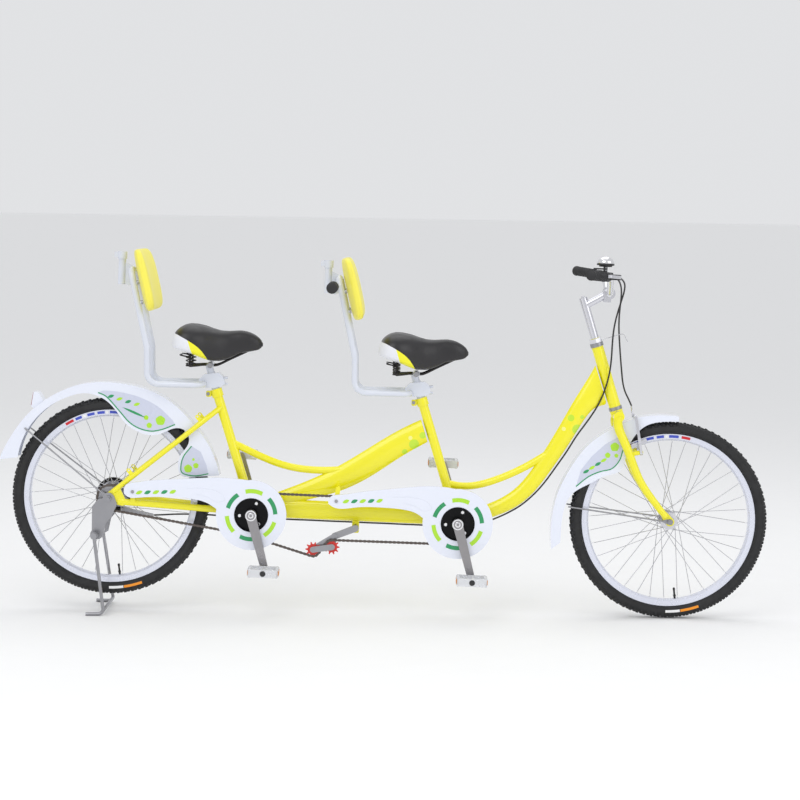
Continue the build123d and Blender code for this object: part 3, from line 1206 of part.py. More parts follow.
FOOT_FRONT_X, FOOT_BACK_X = 3.0, -50.0
with BuildPart() as kickstand_legs:
    for side in (1, -1):
        toe_z = floor_z(FOOT_FRONT_X) + STAND_ROD_RADIUS
        heel_z = floor_z(FOOT_BACK_X) + STAND_ROD_RADIUS
        add(bent_rod([(STAND_PIVOT[0] + 1, side * 98, STAND_PIVOT[1] - 8), (FOOT_FRONT_X, side * 117, toe_z),
                      (FOOT_BACK_X, side * 122, heel_z)], STAND_ROD_RADIUS, 14))
        add(crosswise_rod(*STAND_PIVOT, side * 92.5, side * 103.5, 11))
        add(crosswise_rod(*STAND_PIVOT, side * 90, side * 110, STAND_PIN_RADIUS + RUNNING_CLEARANCE),
            mode=Mode.SUBTRACT)
    add(crosswise_rod(1.2, -331, -114, 114, STAND_ROD_RADIUS))
pieces["kickstand_legs"] = kickstand_legs.part

# ---------------------------------------------------------------- seats and backrests
BACKREST_TUBE_RADIUS = 9.5
BACKREST_HALF_WIDTH = 70.0
BACKREST_FOOT = (268.0, 0.0, 351.0)
BACKREST_CORNER = (104.0, BACKREST_HALF_WIDTH, 348.0)
BACKREST_KNEE = (100.0, BACKREST_HALF_WIDTH, 455.0)
BACKREST_HEAD = (44.0, BACKREST_HALF_WIDTH, 685.0)
SOCKET_X = 9.5
SOCKET_RADIUS = 11.0
SOCKET_BORE = 8.1
SOCKET_BOTTOM = 638.0
SOCKET_TOP = 736.0
STOKER_BAR = (30.0, 662.0)
STOKER_BAR_RADIUS = 9.0
STOKER_GRIP_RADIUS = 17.0
SEAT_CLAMP = (285.0, 408.5)
SEAT_CLAMP_RADIUS = 10.5
RAIL_RADIUS = 3.5
SPRING_X, SPRING_Y = 226.0, 44.0
SADDLE_SIDE = (
    (169, 470), (176, 500), (196, 524), (218, 531), (265, 526), (304, 513), (335, 511), (373, 516),
    (404, 511), (430, 494), (439, 474), (432, 461), (403, 453), (372, 446), (346, 431), (312, 420),
    (285, 421), (237, 440), (191, 450), (173, 457),
)
SADDLE_HALF_PLAN = (
    (169, 0), (170, 45), (178, 82), (204, 103), (240, 100), (276, 78), (312, 51), (352, 36), (400, 28),
    (430, 17), (439, 0),
)

seat_tube_direction = (Vector(*SEAT_TUBE_TOPS[0]) - Vector(*REAR_CRANK)).normalized()


def post_point(height):
    """Point on the rear seat post axis, measured up from the top of the seat tube."""
    spot = Vector(*SEAT_TUBE_TOPS[0]) + seat_tube_direction * height
    return (spot.X, spot.Y, spot.Z)


def saddle_rails(radius):
    """Pair of wire rails from the rear springs through the clamp to the nose."""
    rails = []
    for side in (1, -1):
        route = [(SPRING_X, side * SPRING_Y, 407), (SEAT_CLAMP[0] - 18, side * 21, SEAT_CLAMP[1]),
                 (SEAT_CLAMP[0] + 22, side * 21, SEAT_CLAMP[1]), (398, side * 10, 456)]
        rails.append(bent_rod(route, radius, 12))
    return rails


with BuildPart() as seatpost:
    add(rod(post_point(-90), post_point(52), SEATPOST_RADIUS))
    add(rod(post_point(50), post_point(74), 11))
    add(crosswise_rod(*SEAT_CLAMP, -27, 27, SEAT_CLAMP_RADIUS))
    for rail in saddle_rails(RAIL_RADIUS + 0.05):
        add(rail, mode=Mode.SUBTRACT)
rear_seatpost = max(seatpost.part.solids(), key=lambda solid: solid.volume)

with BuildPart() as saddle:
    with BuildSketch(side_plane(120)):
        with BuildLine():
            Spline(*SADDLE_SIDE, periodic=True)
        make_face()
    extrude(amount=240)
    with BuildSketch(Plane(origin=(0, 0, 380))):
        with BuildLine():
            Spline(*SADDLE_HALF_PLAN, tangents=((0, 1), (0, -1)))
            Spline(*[(x, -y) for x, y in SADDLE_HALF_PLAN], tangents=((0, -1), (0, 1)))
        make_face()
    extrude(amount=200, mode=Mode.INTERSECT)
    for rail in saddle_rails(RAIL_RADIUS):
        add(rail)
    for side in (1, -1):
        add(rod((SPRING_X, side * SPRING_Y, 403), (SPRING_X, side * SPRING_Y, 450), 12))
rear_saddle = max(saddle.part.solids(), key=lambda solid: solid.volume)

half_frame = []
for side in (1, -1):
    route = [BACKREST_FOOT, (BACKREST_FOOT[0], side * BACKREST_HALF_WIDTH, BACKREST_FOOT[2]),
             mirrored(BACKREST_CORNER, side), mirrored(BACKREST_KNEE, side), mirrored(BACKREST_HEAD, side),
             (BACKREST_HEAD[0], 0, BACKREST_HEAD[2])]
    with BuildPart() as half:
        with BuildLine() as route_line:
            FilletPolyline(*route, radius=[28, 34, 90, 28])
        with BuildSketch(Plane(origin=route[0], z_dir=(0, side, 0))):
            Circle(BACKREST_TUBE_RADIUS)
        sweep(path=route_line.wires()[0])
    half_frame.append(half.part)


PAD_FOOT = (87.5, 0.0, 560.0)
PAD_TILT = Vector(-0.25, 0, 0.968).normalized()
PAD_HEIGHT = 186.0
PAD_HALF_WIDTH = 140.0
PAD_DEPTH = 46.0
PAD_OUT = Vector(PAD_TILT.Z, 0, -PAD_TILT.X)
PAD_BOSS_RISES = (30.0, 90.0)
PAD_BOSS_REACH = 4.2


def cut_hoop(hoop):
    """Cut the welded hoop into its lower runs, clamp, two legs and head."""
    below, above, reach = 400.0, 620.0, 400.0
    bands = (
        (-reach, -45.0, 300.0, below), (-45.0, 45.0, 300.0, below), (45.0, reach, 300.0, below),
        (-reach, 0.0, below, above), (0.0, reach, below, above), (-reach, reach, above, 800.0),
    )
    solids = []
    for y_low, y_high, z_low, z_high in bands:
        block = Box(800, y_high - y_low, z_high - z_low).moved(
            Location((100, (y_low + y_high) / 2, (z_low + z_high) / 2)))
        cut = hoop & block
        solids += [solid for solid in cut.solids() if solid.volume > 5]
    return Compound(children=solids)


def make_backrest_frame(with_bar):
    """Backrest hoop, its clamp on the seat post, and the socket behind the pad."""
    with BuildPart() as hoop:
        for half in half_frame:
            add(half)
        with BuildSketch(side_plane(20)):
            Polygon((254, 340), (254, 366), (268, 380), (312, 386), (324, 376), (331, 354), (324, 348), (300, 340),
                    align=None)
        extrude(amount=40)
        with BuildSketch(side_plane(3)):
            Polygon((12, 646), (12, 706), (44, 694), (50, 678), (46, 640), (30, 634), align=None)
        extrude(amount=6)
        add(rod((SOCKET_X, 0, SOCKET_BOTTOM), (SOCKET_X, 0, SOCKET_TOP), SOCKET_RADIUS))
        add(rod((SOCKET_X, 0, 714), (SOCKET_X, 0, SOCKET_TOP), SOCKET_RADIUS + 3))
        with BuildSketch(Plane(origin=(SOCKET_X - 16, 0, 718))):
            Rectangle(14, 16)
        extrude(amount=16)
        add(rod((SOCKET_X, 0, SOCKET_BOTTOM + 6), (SOCKET_X, 0, SOCKET_TOP + 2), SOCKET_BORE), mode=Mode.SUBTRACT)
        add(rod(post_point(-20), post_point(60), SEATPOST_RADIUS + 0.02), mode=Mode.SUBTRACT)
        for height in (0, 19):
            add(rod((318, 0, 350 + height), (338, 0, 352 + height), 4))
        for side in (1, -1):
            for rise in PAD_BOSS_RISES:
                face = Vector(PAD_FOOT[0], side * BACKREST_HALF_WIDTH, PAD_FOOT[2]) + PAD_TILT * rise
                tip, root = face + PAD_OUT * PAD_BOSS_REACH, face + PAD_OUT * (PAD_BOSS_REACH - 15)
                add(rod((root.X, root.Y, root.Z), (tip.X, tip.Y, tip.Z), 5))
        if with_bar:
            add(crosswise_rod(*STOKER_BAR, -30, 30, STOKER_BAR_RADIUS + 0.02), mode=Mode.SUBTRACT)
    return cut_hoop(max(hoop.part.solids(), key=lambda solid: solid.volume))


pad_plane = Plane(origin=PAD_FOOT, x_dir=(PAD_TILT.Z, 0, -PAD_TILT.X), z_dir=PAD_TILT)
with BuildPart() as backrest_pad:
    with BuildSketch(pad_plane):
        with BuildLine():
            ThreePointArc((18, -PAD_HALF_WIDTH), (0.8, 0), (18, PAD_HALF_WIDTH))
            Line((18, PAD_HALF_WIDTH), (PAD_DEPTH, PAD_HALF_WIDTH))
            ThreePointArc((PAD_DEPTH, PAD_HALF_WIDTH), (38, 0), (PAD_DEPTH, -PAD_HALF_WIDTH))
            Line((PAD_DEPTH, -PAD_HALF_WIDTH), (18, -PAD_HALF_WIDTH))
        make_face()
        fillet(vertices(), 9)
    extrude(amount=PAD_HEIGHT)
rear_pad = backrest_pad.part.solids()[0]

stoker_solids = []
with BuildPart() as stoker_bar:
    add(crosswise_rod(*STOKER_BAR, -BAR_HALF_WIDTH, BAR_HALF_WIDTH, STOKER_BAR_RADIUS))
    for side in (1, -1):
        add(crosswise_rod(*STOKER_BAR, side * 92, side * BAR_HALF_WIDTH, BAR_RADIUS))
stoker_solids.append(stoker_bar.part.solids()[0])
for side in (1, -1):
    with BuildPart() as stoker_grip:
        add(crosswise_rod(*STOKER_BAR, side * (BAR_HALF_WIDTH - 115), side * (BAR_HALF_WIDTH + 3), STOKER_GRIP_RADIUS))
        add(crosswise_rod(*STOKER_BAR, 0, side * BAR_HALF_WIDTH, BAR_RADIUS + 0.02), mode=Mode.SUBTRACT)
    stoker_solids.append(stoker_grip.part.solids()[0])

rear_set = {
    "seatpost": rear_seatpost, "saddle": rear_saddle,
    "backrest_frame": make_backrest_frame(False), "backrest_pad": rear_pad,
}
front_set = {
    "seatpost": rear_seatpost, "saddle": rear_saddle,
    "backrest_frame": make_backrest_frame(True), "backrest_pad": rear_pad,
}
for name, solid in rear_set.items():
    pieces["rear_" + name] = solid
for name, solid in front_set.items():
    pieces["front_" + name] = solid.moved(Location((CRANK_SPACING, 0, 0)))
pieces["stoker_handlebar"] = Compound(children=stoker_solids).moved(Location((CRANK_SPACING, 0, 0)))

# ---------------------------------------------------------------- small frame fittings
hardware = []
for x, _, z in SEAT_TUBE_FEET:
    for side in (1, -1):
        with BuildPart() as cup:
            add(crosswise_rod(x, z, side * 24, side * 36.8, SHELL_BORE - 0.05))
            add(crosswise_rod(x, z, side * (SHELL_WIDTH / 2 + 0.1), side * 36.8, SHELL_RADIUS - 1))
            add(crosswise_rod(x, z, side * 20, side * 40, SPINDLE_RADIUS + RUNNING_CLEARANCE), mode=Mode.SUBTRACT)
        hardware.append(cup.part.solids()[0])
    # Bracket that carries the chain guard from the crank shell.
    with BuildPart() as guard_bracket:
        add(link_plate([(x, z, 23), (x - 15, z - 91, 7)], -37.0, 2))
        add(crosswise_rod(x - 15, z - 91, -38, GUARD_FACE_Y + SEAT_GAP, 5))
        add(crosswise_rod(x, z, -30, -42, 12), mode=Mode.SUBTRACT)
    hardware.append(guard_bracket.part.solids()[0])
lower_cup_end, upper_cup_end = head_point(-CUP_HEIGHT), head_point(UPPER_CUP_TOP)
for inner, outer in ((HEAD_BOTTOM, lower_cup_end), (HEAD_TOP, upper_cup_end)):
    hardware.append(rod(inner, outer, CUP_RADIUS, STEERER_RADIUS + RUNNING_CLEARANCE).solids()[0])
for foot, top in zip(SEAT_TUBE_FEET, SEAT_TUBE_TOPS):
    lug = between(beyond(foot, top, -COLLAR_HEIGHT), top, 0.5)
    with BuildPart() as collar_bolt:
        add(crosswise_rod(lug[0] - 26, lug[2] - 4, -13, 13, 3))
        add(crosswise_rod(lug[0] - 26, lug[2] - 4, -9.1, -14, 5))
        add(crosswise_rod(lug[0] - 26, lug[2] - 4, 9.1, 14, 5))
    hardware.append(collar_bolt.part.solids()[0])
for screw_x, screw_z in (REAR_GUARD_SCREW, FRONT_GUARD_SCREW):
    with BuildPart() as guard_screw:
        add(crosswise_rod(screw_x, screw_z, -61, -79, GUARD_SCREW_RADIUS))
        add(crosswise_rod(screw_x, screw_z, GUARD_FACE_Y - GUARD_WALL - 0.1, -80.5, 5))
        add(crosswise_rod(screw_x, screw_z, -61.9, -58.5, 4.5))
    hardware.append(guard_screw.part.solids()[0])
pieces["frame_hardware"] = Compound(children=hardware)

# ---------------------------------------------------------------- cables
FRONT_CABLE = [
    lever_point(1, LEVER_PIVOT_ALONG - 22, 33), (1502, 88, 716), (1510, 60, 694), (1509, 36, 660), (1504, 20, 618),
    (1503, 9, 575), (1507, 3, 530), (1512, 1, 485), (1518, 5, 443), (1524, 14, 406), (1534, 30, 378),
    (1547, 47, 357), (1558.6, 61.5, 335.5),
]
REAR_CABLE = [
    lever_point(-1, LEVER_PIVOT_ALONG - 22, 33), (1504, -88, 714), (1509, -62, 690), (1502, -42, 654),
    (1492, -31, 612), (1485, -27, 570), (1483, -26, 526), (1483, -27, 480), (1479, -27.5, 432), (1469, -26, 388),
    (1457, -17, 352), (1443, -4, 320), (1419, 0, 281), (1392, 0.5, 242), (1365, 0, 192), (1334, 0, 144),
    (1308, 0, 103), (1279, 1, 65), (1236, 1, 23), (1190, 2, -5), (1155, 3, -22), (1120, 3.5, -36),
    (1082, 5, -49), (1042, 7, -55.5), (990, 9, -51),
]
for index in range(9):
    REAR_CABLE.append((935 - 55 * index, 9 + 1.6 * (-1) ** index, -50.2))
REAR_CABLE += [
    (452, 10, -53), (414, 16, -57), (372, 24, -54), (322, 33, -51), (272, 41, -51), (226, 48, -53),
    (184, 54, -56), (152, 58, -60), (124.6, 60, -62),
]
rear_cable_solid = cable("rear cable", REAR_CABLE).solids()[0]
front_cable_solid = cable("front cable", FRONT_CABLE).solids()[0]
bridge_wire = rod((BRAKE_TOP[0], -BRAKE_ARM_TOP_Y + 5.4, BRAKE_TOP[1]),
                  (BRAKE_TOP[0], BRAKE_ARM_TOP_Y - 5.4, BRAKE_TOP[1]), 1.0).solids()[0]
pieces["rear_brake_cable"] = rear_cable_solid
pieces["front_brake_cable"] = Compound(children=[front_cable_solid, bridge_wire])

# ---------------------------------------------------------------- parked pose and export
turned = {name: Compound(children=[solid.rotate(Axis.Y, PARKED_PITCH) for solid in shape.solids()])
          for name, shape in pieces.items()}
boxes = [shape.bounding_box() for shape in turned.values()]
X_SHIFT = -(min(box.min.X for box in boxes) + max(box.max.X for box in boxes)) / 2
for name, shape in turned.items():
    placed = shape.moved(Location((X_SHIFT, 0, AXLE_HEIGHT)))
    placed.label = name
    export_step(placed, f"parts/{name}.step")
print(len(turned), "pieces, x shift", round(X_SHIFT, 3), "axle height", round(AXLE_HEIGHT, 3))
print("lowest point", round(AXLE_HEIGHT + min(box.min.Z for box in boxes), 3))
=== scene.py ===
"""Tandem bicycle: the looks of every piece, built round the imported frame."""

import logging
import math
from dataclasses import dataclass, field
from enum import Enum
from typing import Iterable, Sequence

import bmesh
import bpy
from mathutils import Matrix, Vector

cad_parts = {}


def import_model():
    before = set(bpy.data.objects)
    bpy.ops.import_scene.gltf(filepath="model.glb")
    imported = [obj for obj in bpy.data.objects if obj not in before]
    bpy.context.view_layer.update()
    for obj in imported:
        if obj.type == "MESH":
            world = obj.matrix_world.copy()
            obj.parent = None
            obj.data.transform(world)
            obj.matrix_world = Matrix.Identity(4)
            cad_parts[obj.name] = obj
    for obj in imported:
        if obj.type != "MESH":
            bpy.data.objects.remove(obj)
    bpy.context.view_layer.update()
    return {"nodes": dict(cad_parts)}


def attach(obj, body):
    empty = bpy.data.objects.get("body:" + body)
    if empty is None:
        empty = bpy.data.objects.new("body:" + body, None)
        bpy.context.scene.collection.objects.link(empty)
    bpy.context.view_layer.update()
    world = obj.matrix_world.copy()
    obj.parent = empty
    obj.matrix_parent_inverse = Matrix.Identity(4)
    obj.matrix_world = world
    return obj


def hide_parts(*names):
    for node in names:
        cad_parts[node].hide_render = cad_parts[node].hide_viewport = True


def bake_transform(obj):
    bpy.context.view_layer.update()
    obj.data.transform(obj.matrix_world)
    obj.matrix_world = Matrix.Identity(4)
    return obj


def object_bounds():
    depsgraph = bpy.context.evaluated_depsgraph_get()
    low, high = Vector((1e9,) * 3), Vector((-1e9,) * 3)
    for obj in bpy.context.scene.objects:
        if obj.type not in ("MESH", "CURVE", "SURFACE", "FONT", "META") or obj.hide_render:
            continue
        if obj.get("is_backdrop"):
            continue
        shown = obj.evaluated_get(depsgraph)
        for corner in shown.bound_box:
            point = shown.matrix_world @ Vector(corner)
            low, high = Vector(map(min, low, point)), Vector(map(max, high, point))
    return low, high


LOG = logging.getLogger("tandem")

Point2 = tuple[float, float]
Point3 = tuple[float, float, float]
Colour = tuple[float, float, float]

MM = 0.001
PITCH = math.radians(1.62)
X_SHIFT = -822.117
AXLE_HEIGHT = 345.495
WHEELBASE = 1680.0
CRANK_SPACING = 617.0
REAR_CRANK: Point2 = (428.0, -31.0)
FRONT_CRANK: Point2 = (1045.0, -31.0)


def place(x: float, y: float, z: float) -> Vector:
    """Turn a workshop point in millimetres into the parked bicycle's metres.

    Args:
        x: Distance ahead of the rear axle.
        y: Distance to the left.
        z: Height above the rear axle.

    Returns:
        The point in the shared frame.
    """
    return Vector((
        (x * math.cos(PITCH) + z * math.sin(PITCH) + X_SHIFT) * MM,
        y * MM,
        (-x * math.sin(PITCH) + z * math.cos(PITCH) + AXLE_HEIGHT) * MM,
    ))


def aim(x: float, y: float, z: float) -> Vector:
    """Turn a workshop direction by the parked pitch."""
    return (place(x, y, z) - place(0, 0, 0)).normalized()


def smooth_path(points: Sequence[Point3], steps: int) -> list[Point3]:
    """Run a smooth line through a few points.

    Args:
        points: Points to pass through.
        steps: Short runs between two neighbours.

    Returns:
        The denser row of points.
    """
    row = [Vector(point) for point in points]
    ends = [2 * row[0] - row[1], *row, 2 * row[-1] - row[-2]]
    line: list[Point3] = []
    for index in range(1, len(ends) - 2):
        a, b, c, d = ends[index - 1:index + 3]
        for step in range(steps):
            t = step / steps
            spot = 0.5 * (2 * b + (c - a) * t + (2 * a - 5 * b + 4 * c - d) * t**2 + (3 * b - a - 3 * c + d) * t**3)
            line.append(tuple(spot))
    line.append(tuple(row[-1]))
    return line


# ---------------------------------------------------------------- finishes


class Grain(Enum):
    """Fine surface pattern of a finish."""

    ORANGE_PEEL = "orange peel"
    BRUSHED = "brushed"
    MOULDED = "moulded"
    LEATHER = "leather"
    CAST = "cast"


@dataclass(frozen=True)
class Finish:
    """One surface finish, made into a node material."""

    name: str
    colour: Colour
    roughness: float
    grain: Grain
    grain_size: float = 0.002
    depth: float = 0.05
    metallic: float = 0.0
    coat: float = 0.0
    tone: float = 0.06
    see_through: float = 0.0

    def material(self) -> bpy.types.Material:
        """Return the finish's material, made once."""
        found = bpy.data.materials.get(self.name)
        if found is not None:
            return found
        material = bpy.data.materials.new(self.name)
        material.use_nodes = True
        bench = NodeBench(material.node_tree)
        shader = bench.shader()
        shader.inputs["Metallic"].default_value = self.metallic
        shader.inputs["Coat Weight"].default_value = self.coat
        shader.inputs["Coat Roughness"].default_value = 0.04
        shader.inputs["Transmission Weight"].default_value = self.see_through
        bench.link(self.paint(bench), shader.inputs["Base Color"])
        bench.link(bench.spread(bench.noise(38.0, 3.0), self.roughness * 0.82, self.roughness * 1.2),
                   shader.inputs["Roughness"])
        bench.link(self.bump(bench), shader.inputs["Normal"])
        return material

    def paint(self, bench: "NodeBench") -> bpy.types.NodeSocket:
        """Colour of the finish, with its slow unevenness."""
        dark = tuple(channel * (1 - self.tone) for channel in self.colour)
        light = tuple(min(channel * (1 + self.tone), 1.0) for channel in self.colour)
        return bench.mix(bench.noise(9.0, 4.0), bench.colour(dark), bench.colour(light))

    def bump(self, bench: "NodeBench") -> bpy.types.NodeSocket:
        """Surface relief of the finish at its grain's own scale."""
        scale = 1.0 / self.grain_size
        if self.grain is Grain.BRUSHED:
            height = bench.noise(scale, 2.0, stretch=(1.0, 0.12, 1.0))
        elif self.grain is Grain.LEATHER:
            height = bench.cells(scale)
        else:
            height = bench.noise(scale, 3.0 if self.grain is Grain.CAST else 1.0)
        return bench.relief(height, self.depth, self.grain_size * 0.35)


class NodeBench:
    """Short words for the shader nodes that the finishes share."""

    def __init__(self, tree: bpy.types.NodeTree) -> None:
        """Keep the tree that the nodes go into."""
        self.tree = tree

    def link(self, start: bpy.types.NodeSocket, end: bpy.types.NodeSocket) -> None:
        """Join two sockets."""
        self.tree.links.new(start, end)

    def node(self, kind: str) -> bpy.types.Node:
        """Add a node of this kind."""
        return self.tree.nodes.new(kind)

    def shader(self) -> bpy.types.Node:
        """Return the tree's Principled shader."""
        return next(node for node in self.tree.nodes if node.type == "BSDF_PRINCIPLED")

    def place(self) -> bpy.types.NodeSocket:
        """Object coordinates, in metres."""
        return self.node("ShaderNodeTexCoord").outputs["Object"]

    def part(self, name: str) -> bpy.types.NodeSocket:
        """One axis of the object coordinates, by letter."""
        split = self.node("ShaderNodeSeparateXYZ")
        self.link(self.place(), split.inputs[0])
        return split.outputs[name]

    def noise(self, scale: float, detail: float, stretch: Point3 = (1.0, 1.0, 1.0)) -> bpy.types.NodeSocket:
        """Noise on the object coordinates.

        Args:
            scale: Cells to a metre.
            detail: Octaves.
            stretch: Factor on each axis.

        Returns:
            The noise factor.
        """
        mapping = self.node("ShaderNodeMapping")
        mapping.inputs["Scale"].default_value = stretch
        self.link(self.place(), mapping.inputs["Vector"])
        noise = self.node("ShaderNodeTexNoise")
        noise.inputs["Scale"].default_value = scale
        noise.inputs["Detail"].default_value = detail
        self.link(mapping.outputs[0], noise.inputs["Vector"])
        return noise.outputs["Fac"]

    def cells(self, scale: float) -> bpy.types.NodeSocket:
        """Distance to the edges of leather-like cells."""
        cells = self.node("ShaderNodeTexVoronoi")
        cells.feature = "DISTANCE_TO_EDGE"
        cells.inputs["Scale"].default_value = scale
        self.link(self.place(), cells.inputs["Vector"])
        return cells.outputs["Distance"]

    def spread(self, value: bpy.types.NodeSocket, low: float, high: float) -> bpy.types.NodeSocket:
        """Map a 0 to 1 factor to a range."""
        ranged = self.node("ShaderNodeMapRange")
        ranged.inputs["From Min"].default_value = 0.3
        ranged.inputs["From Max"].default_value = 0.7
        ranged.inputs["To Min"].default_value = low
        ranged.inputs["To Max"].default_value = high
        self.link(value, ranged.inputs["Value"])
        return ranged.outputs[0]

    def relief(self, height: bpy.types.NodeSocket, strength: float, distance: float) -> bpy.types.NodeSocket:
        """Bump from a height."""
        bump = self.node("ShaderNodeBump")
        bump.inputs["Strength"].default_value = strength
        bump.inputs["Distance"].default_value = distance
        self.link(height, bump.inputs["Height"])
        return bump.outputs[0]

    def colour(self, value: Colour) -> bpy.types.NodeSocket:
        """A plain colour."""
        node = self.node("ShaderNodeRGB")
        node.outputs[0].default_value = (*value, 1.0)
        return node.outputs[0]

    def mix(self, factor: bpy.types.NodeSocket, low: bpy.types.NodeSocket,
            high: bpy.types.NodeSocket) -> bpy.types.NodeSocket:
        """Blend two colours by a factor."""
        mix = self.node("ShaderNodeMix")
        mix.data_type = "RGBA"
        self.link(factor, mix.inputs[0])
        self.link(low, mix.inputs[6])
        self.link(high, mix.inputs[7])
        return mix.outputs[2]

    def maths(self, work: str, *values: float | bpy.types.NodeSocket) -> bpy.types.NodeSocket:
        """One step of arithmetic.

        Args:
            work: Blender's name of the operation.
            values: Numbers or sockets.

        Returns:
            The result.
        """
        node = self.node("ShaderNodeMath")
        node.operation = work
        for index, value in enumerate(values):
            if isinstance(value, (int, float)):
                node.inputs[index].default_value = value
            else:
                self.link(value, node.inputs[index])
        return node.outputs[0]

    def disc(self, centre: Point2, radius: float) -> bpy.types.NodeSocket:
        """Mask that is one inside a circle seen from the side.

        Args:
            centre: Workshop x and z of the centre, in millimetres.
            radius: Radius in millimetres.

        Returns:
            The mask.
        """
        spot = place(centre[0], 0, centre[1])
        across = self.maths("SUBTRACT", self.part("X"), spot.x)
        rise = self.maths("SUBTRACT", self.part("Z"), spot.z)
        square = self.maths("ADD", self.maths("MULTIPLY", across, across), self.maths("MULTIPLY", rise, rise))
        return self.maths("LESS_THAN", square, (radius * MM) ** 2)

    def attribute(self, name: str) -> bpy.types.NodeSocket:
        """A number kept on the mesh."""
        node = self.node("ShaderNodeAttribute")
        node.attribute_name = name
        return node.outputs["Fac"]


@dataclass(frozen=True)
class FramePaint(Finish):
    """Frame enamel with its printed lime discs."""

    discs: tuple[tuple[float, float, float, int], ...] = ()
    inks: tuple[Colour, ...] = ((0.55, 0.8, 0.02), (0.93, 0.9, 0.25))

    def paint(self, bench: NodeBench) -> bpy.types.NodeSocket:
        """Enamel colour with the discs laid over it."""
        result = super().paint(bench)
        for x, z, radius, ink in self.discs:
            result = bench.mix(bench.disc((x, z), radius), result, bench.colour(self.inks[ink]))
        return result


@dataclass(frozen=True)
class SaddleVinyl(Finish):
    """Saddle cover in three colours, parted by two lines kept on the mesh."""

    side: Colour = (0.78, 0.79, 0.84)
    wedge: Colour = (0.9, 0.86, 0.02)

    def paint(self, bench: NodeBench) -> bpy.types.NodeSocket:
        """Black cover with a silver rear panel and a yellow wedge."""
        base = super().paint(bench)
        panel = bench.mix(bench.maths("GREATER_THAN", bench.attribute("wedge_line"), 0.0),
                          bench.colour(self.side), bench.colour(self.wedge))
        return bench.mix(bench.maths("GREATER_THAN", bench.attribute("panel_line"), 0.0), base, panel)

    def bump(self, bench: NodeBench) -> bpy.types.NodeSocket:
        """Leather grain with a sunk seam along the panel line."""
        grain = bench.maths("MULTIPLY", bench.cells(1 / self.grain_size), 0.25)
        near = bench.maths("LESS_THAN", bench.maths("ABSOLUTE", bench.attribute("panel_line")), 0.0009)
        return bench.relief(bench.maths("SUBTRACT", grain, near), 0.5, 0.0006)


@dataclass(frozen=True)
class CrankSteel(Finish):
    """Bright crank arms outside, blackened chain wheels inside."""

    inner: Colour = (0.012, 0.012, 0.013)

    def paint(self, bench: NodeBench) -> bpy.types.NodeSocket:
        """Steel beyond the guards, black behind them."""
        outside = bench.maths("GREATER_THAN", bench.maths("ABSOLUTE", bench.part("Y")), 0.072)
        return bench.mix(outside, bench.colour(self.inner), super().paint(bench))


YELLOW: Colour = (0.9, 0.83, 0.004)
ENAMEL = FramePaint(
    "frame_enamel", YELLOW, 0.22, Grain.ORANGE_PEEL, 0.004, 0.03, coat=0.7, tone=0.03,
    discs=(
        (905, 196, 15, 0), (930, 224, 10, 0), (946, 195, 6, 0), (878, 172, 8, 0), (893, 215, 6, 1),
        (1392, 262, 15, 0), (1372, 296, 10, 0), (1405, 300, 6, 0), (1352, 262, 6, 1),
    ),
)
SHELL_WHITE = Finish("shell_white", (0.79, 0.82, 0.92), 0.2, Grain.MOULDED, 0.01, 0.02, coat=0.6, tone=0.02)
INSET_GREY = Finish("inset_grey", (0.6, 0.63, 0.76), 0.3, Grain.MOULDED, 0.006, 0.02, coat=0.3, tone=0.02)
TUBE_WHITE = Finish("tube_white", (0.68, 0.71, 0.79), 0.2, Grain.ORANGE_PEEL, 0.004, 0.03, coat=0.6, tone=0.03)
LIME = Finish("lime_ink", (0.42, 0.75, 0.02), 0.3, Grain.MOULDED, 0.004, 0.02, coat=0.4, tone=0.04)
LEAF_GREEN = Finish("leaf_green_ink", (0.01, 0.3, 0.1), 0.3, Grain.MOULDED, 0.004, 0.02, coat=0.4, tone=0.04)
BLACK_PLASTIC = Finish("black_moulding", (0.018, 0.018, 0.02), 0.42, Grain.MOULDED, 0.0012, 0.15)
BLACK_STEEL = Finish("black_steel_paint", (0.022, 0.02, 0.02), 0.35, Grain.CAST, 0.003, 0.1, metallic=0.4)
CHAIN_STEEL = Finish("chain_steel", (0.13, 0.11, 0.1), 0.38, Grain.CAST, 0.002, 0.2, metallic=0.9, tone=0.3)
TYRE = Finish("tyre_rubber_moulded", (0.012, 0.012, 0.013), 0.62, Grain.MOULDED, 0.0015, 0.3, tone=0.2)
GRIP = Finish("grip_rubber_moulded", (0.016, 0.016, 0.018), 0.55, Grain.MOULDED, 0.001, 0.3, tone=0.15)
RIM_ALLOY = Finish("rim_alloy", (0.74, 0.76, 0.86), 0.28, Grain.BRUSHED, 0.002, 0.05, metallic=0.45, coat=0.3)
ALLOY = Finish("polished_alloy", (0.66, 0.66, 0.7), 0.24, Grain.BRUSHED, 0.0012, 0.06, metallic=1.0, tone=0.08)
CHROME = Finish("chrome_plate", (0.78, 0.78, 0.8), 0.1, Grain.BRUSHED, 0.002, 0.02, metallic=1.0, tone=0.03)
ZINC = Finish("zinc_plate", (0.36, 0.36, 0.38), 0.36, Grain.CAST, 0.002, 0.16, metallic=0.95, tone=0.18)
SPOKE_STEEL = Finish("spoke_steel", (0.5, 0.5, 0.52), 0.25, Grain.BRUSHED, 0.002, 0.03, metallic=1.0, tone=0.06)
CRANK = CrankSteel("crank_steel", (0.33, 0.32, 0.33), 0.3, Grain.BRUSHED, 0.0015, 0.08, metallic=0.9, tone=0.12)
RED_PLASTIC = Finish("red_moulding", (0.62, 0.03, 0.02), 0.35, Grain.MOULDED, 0.002, 0.08)
PEDAL_CLEAR = Finish("pedal_moulding", (0.86, 0.87, 0.9), 0.25, Grain.MOULDED, 0.002, 0.06, see_through=0.25)
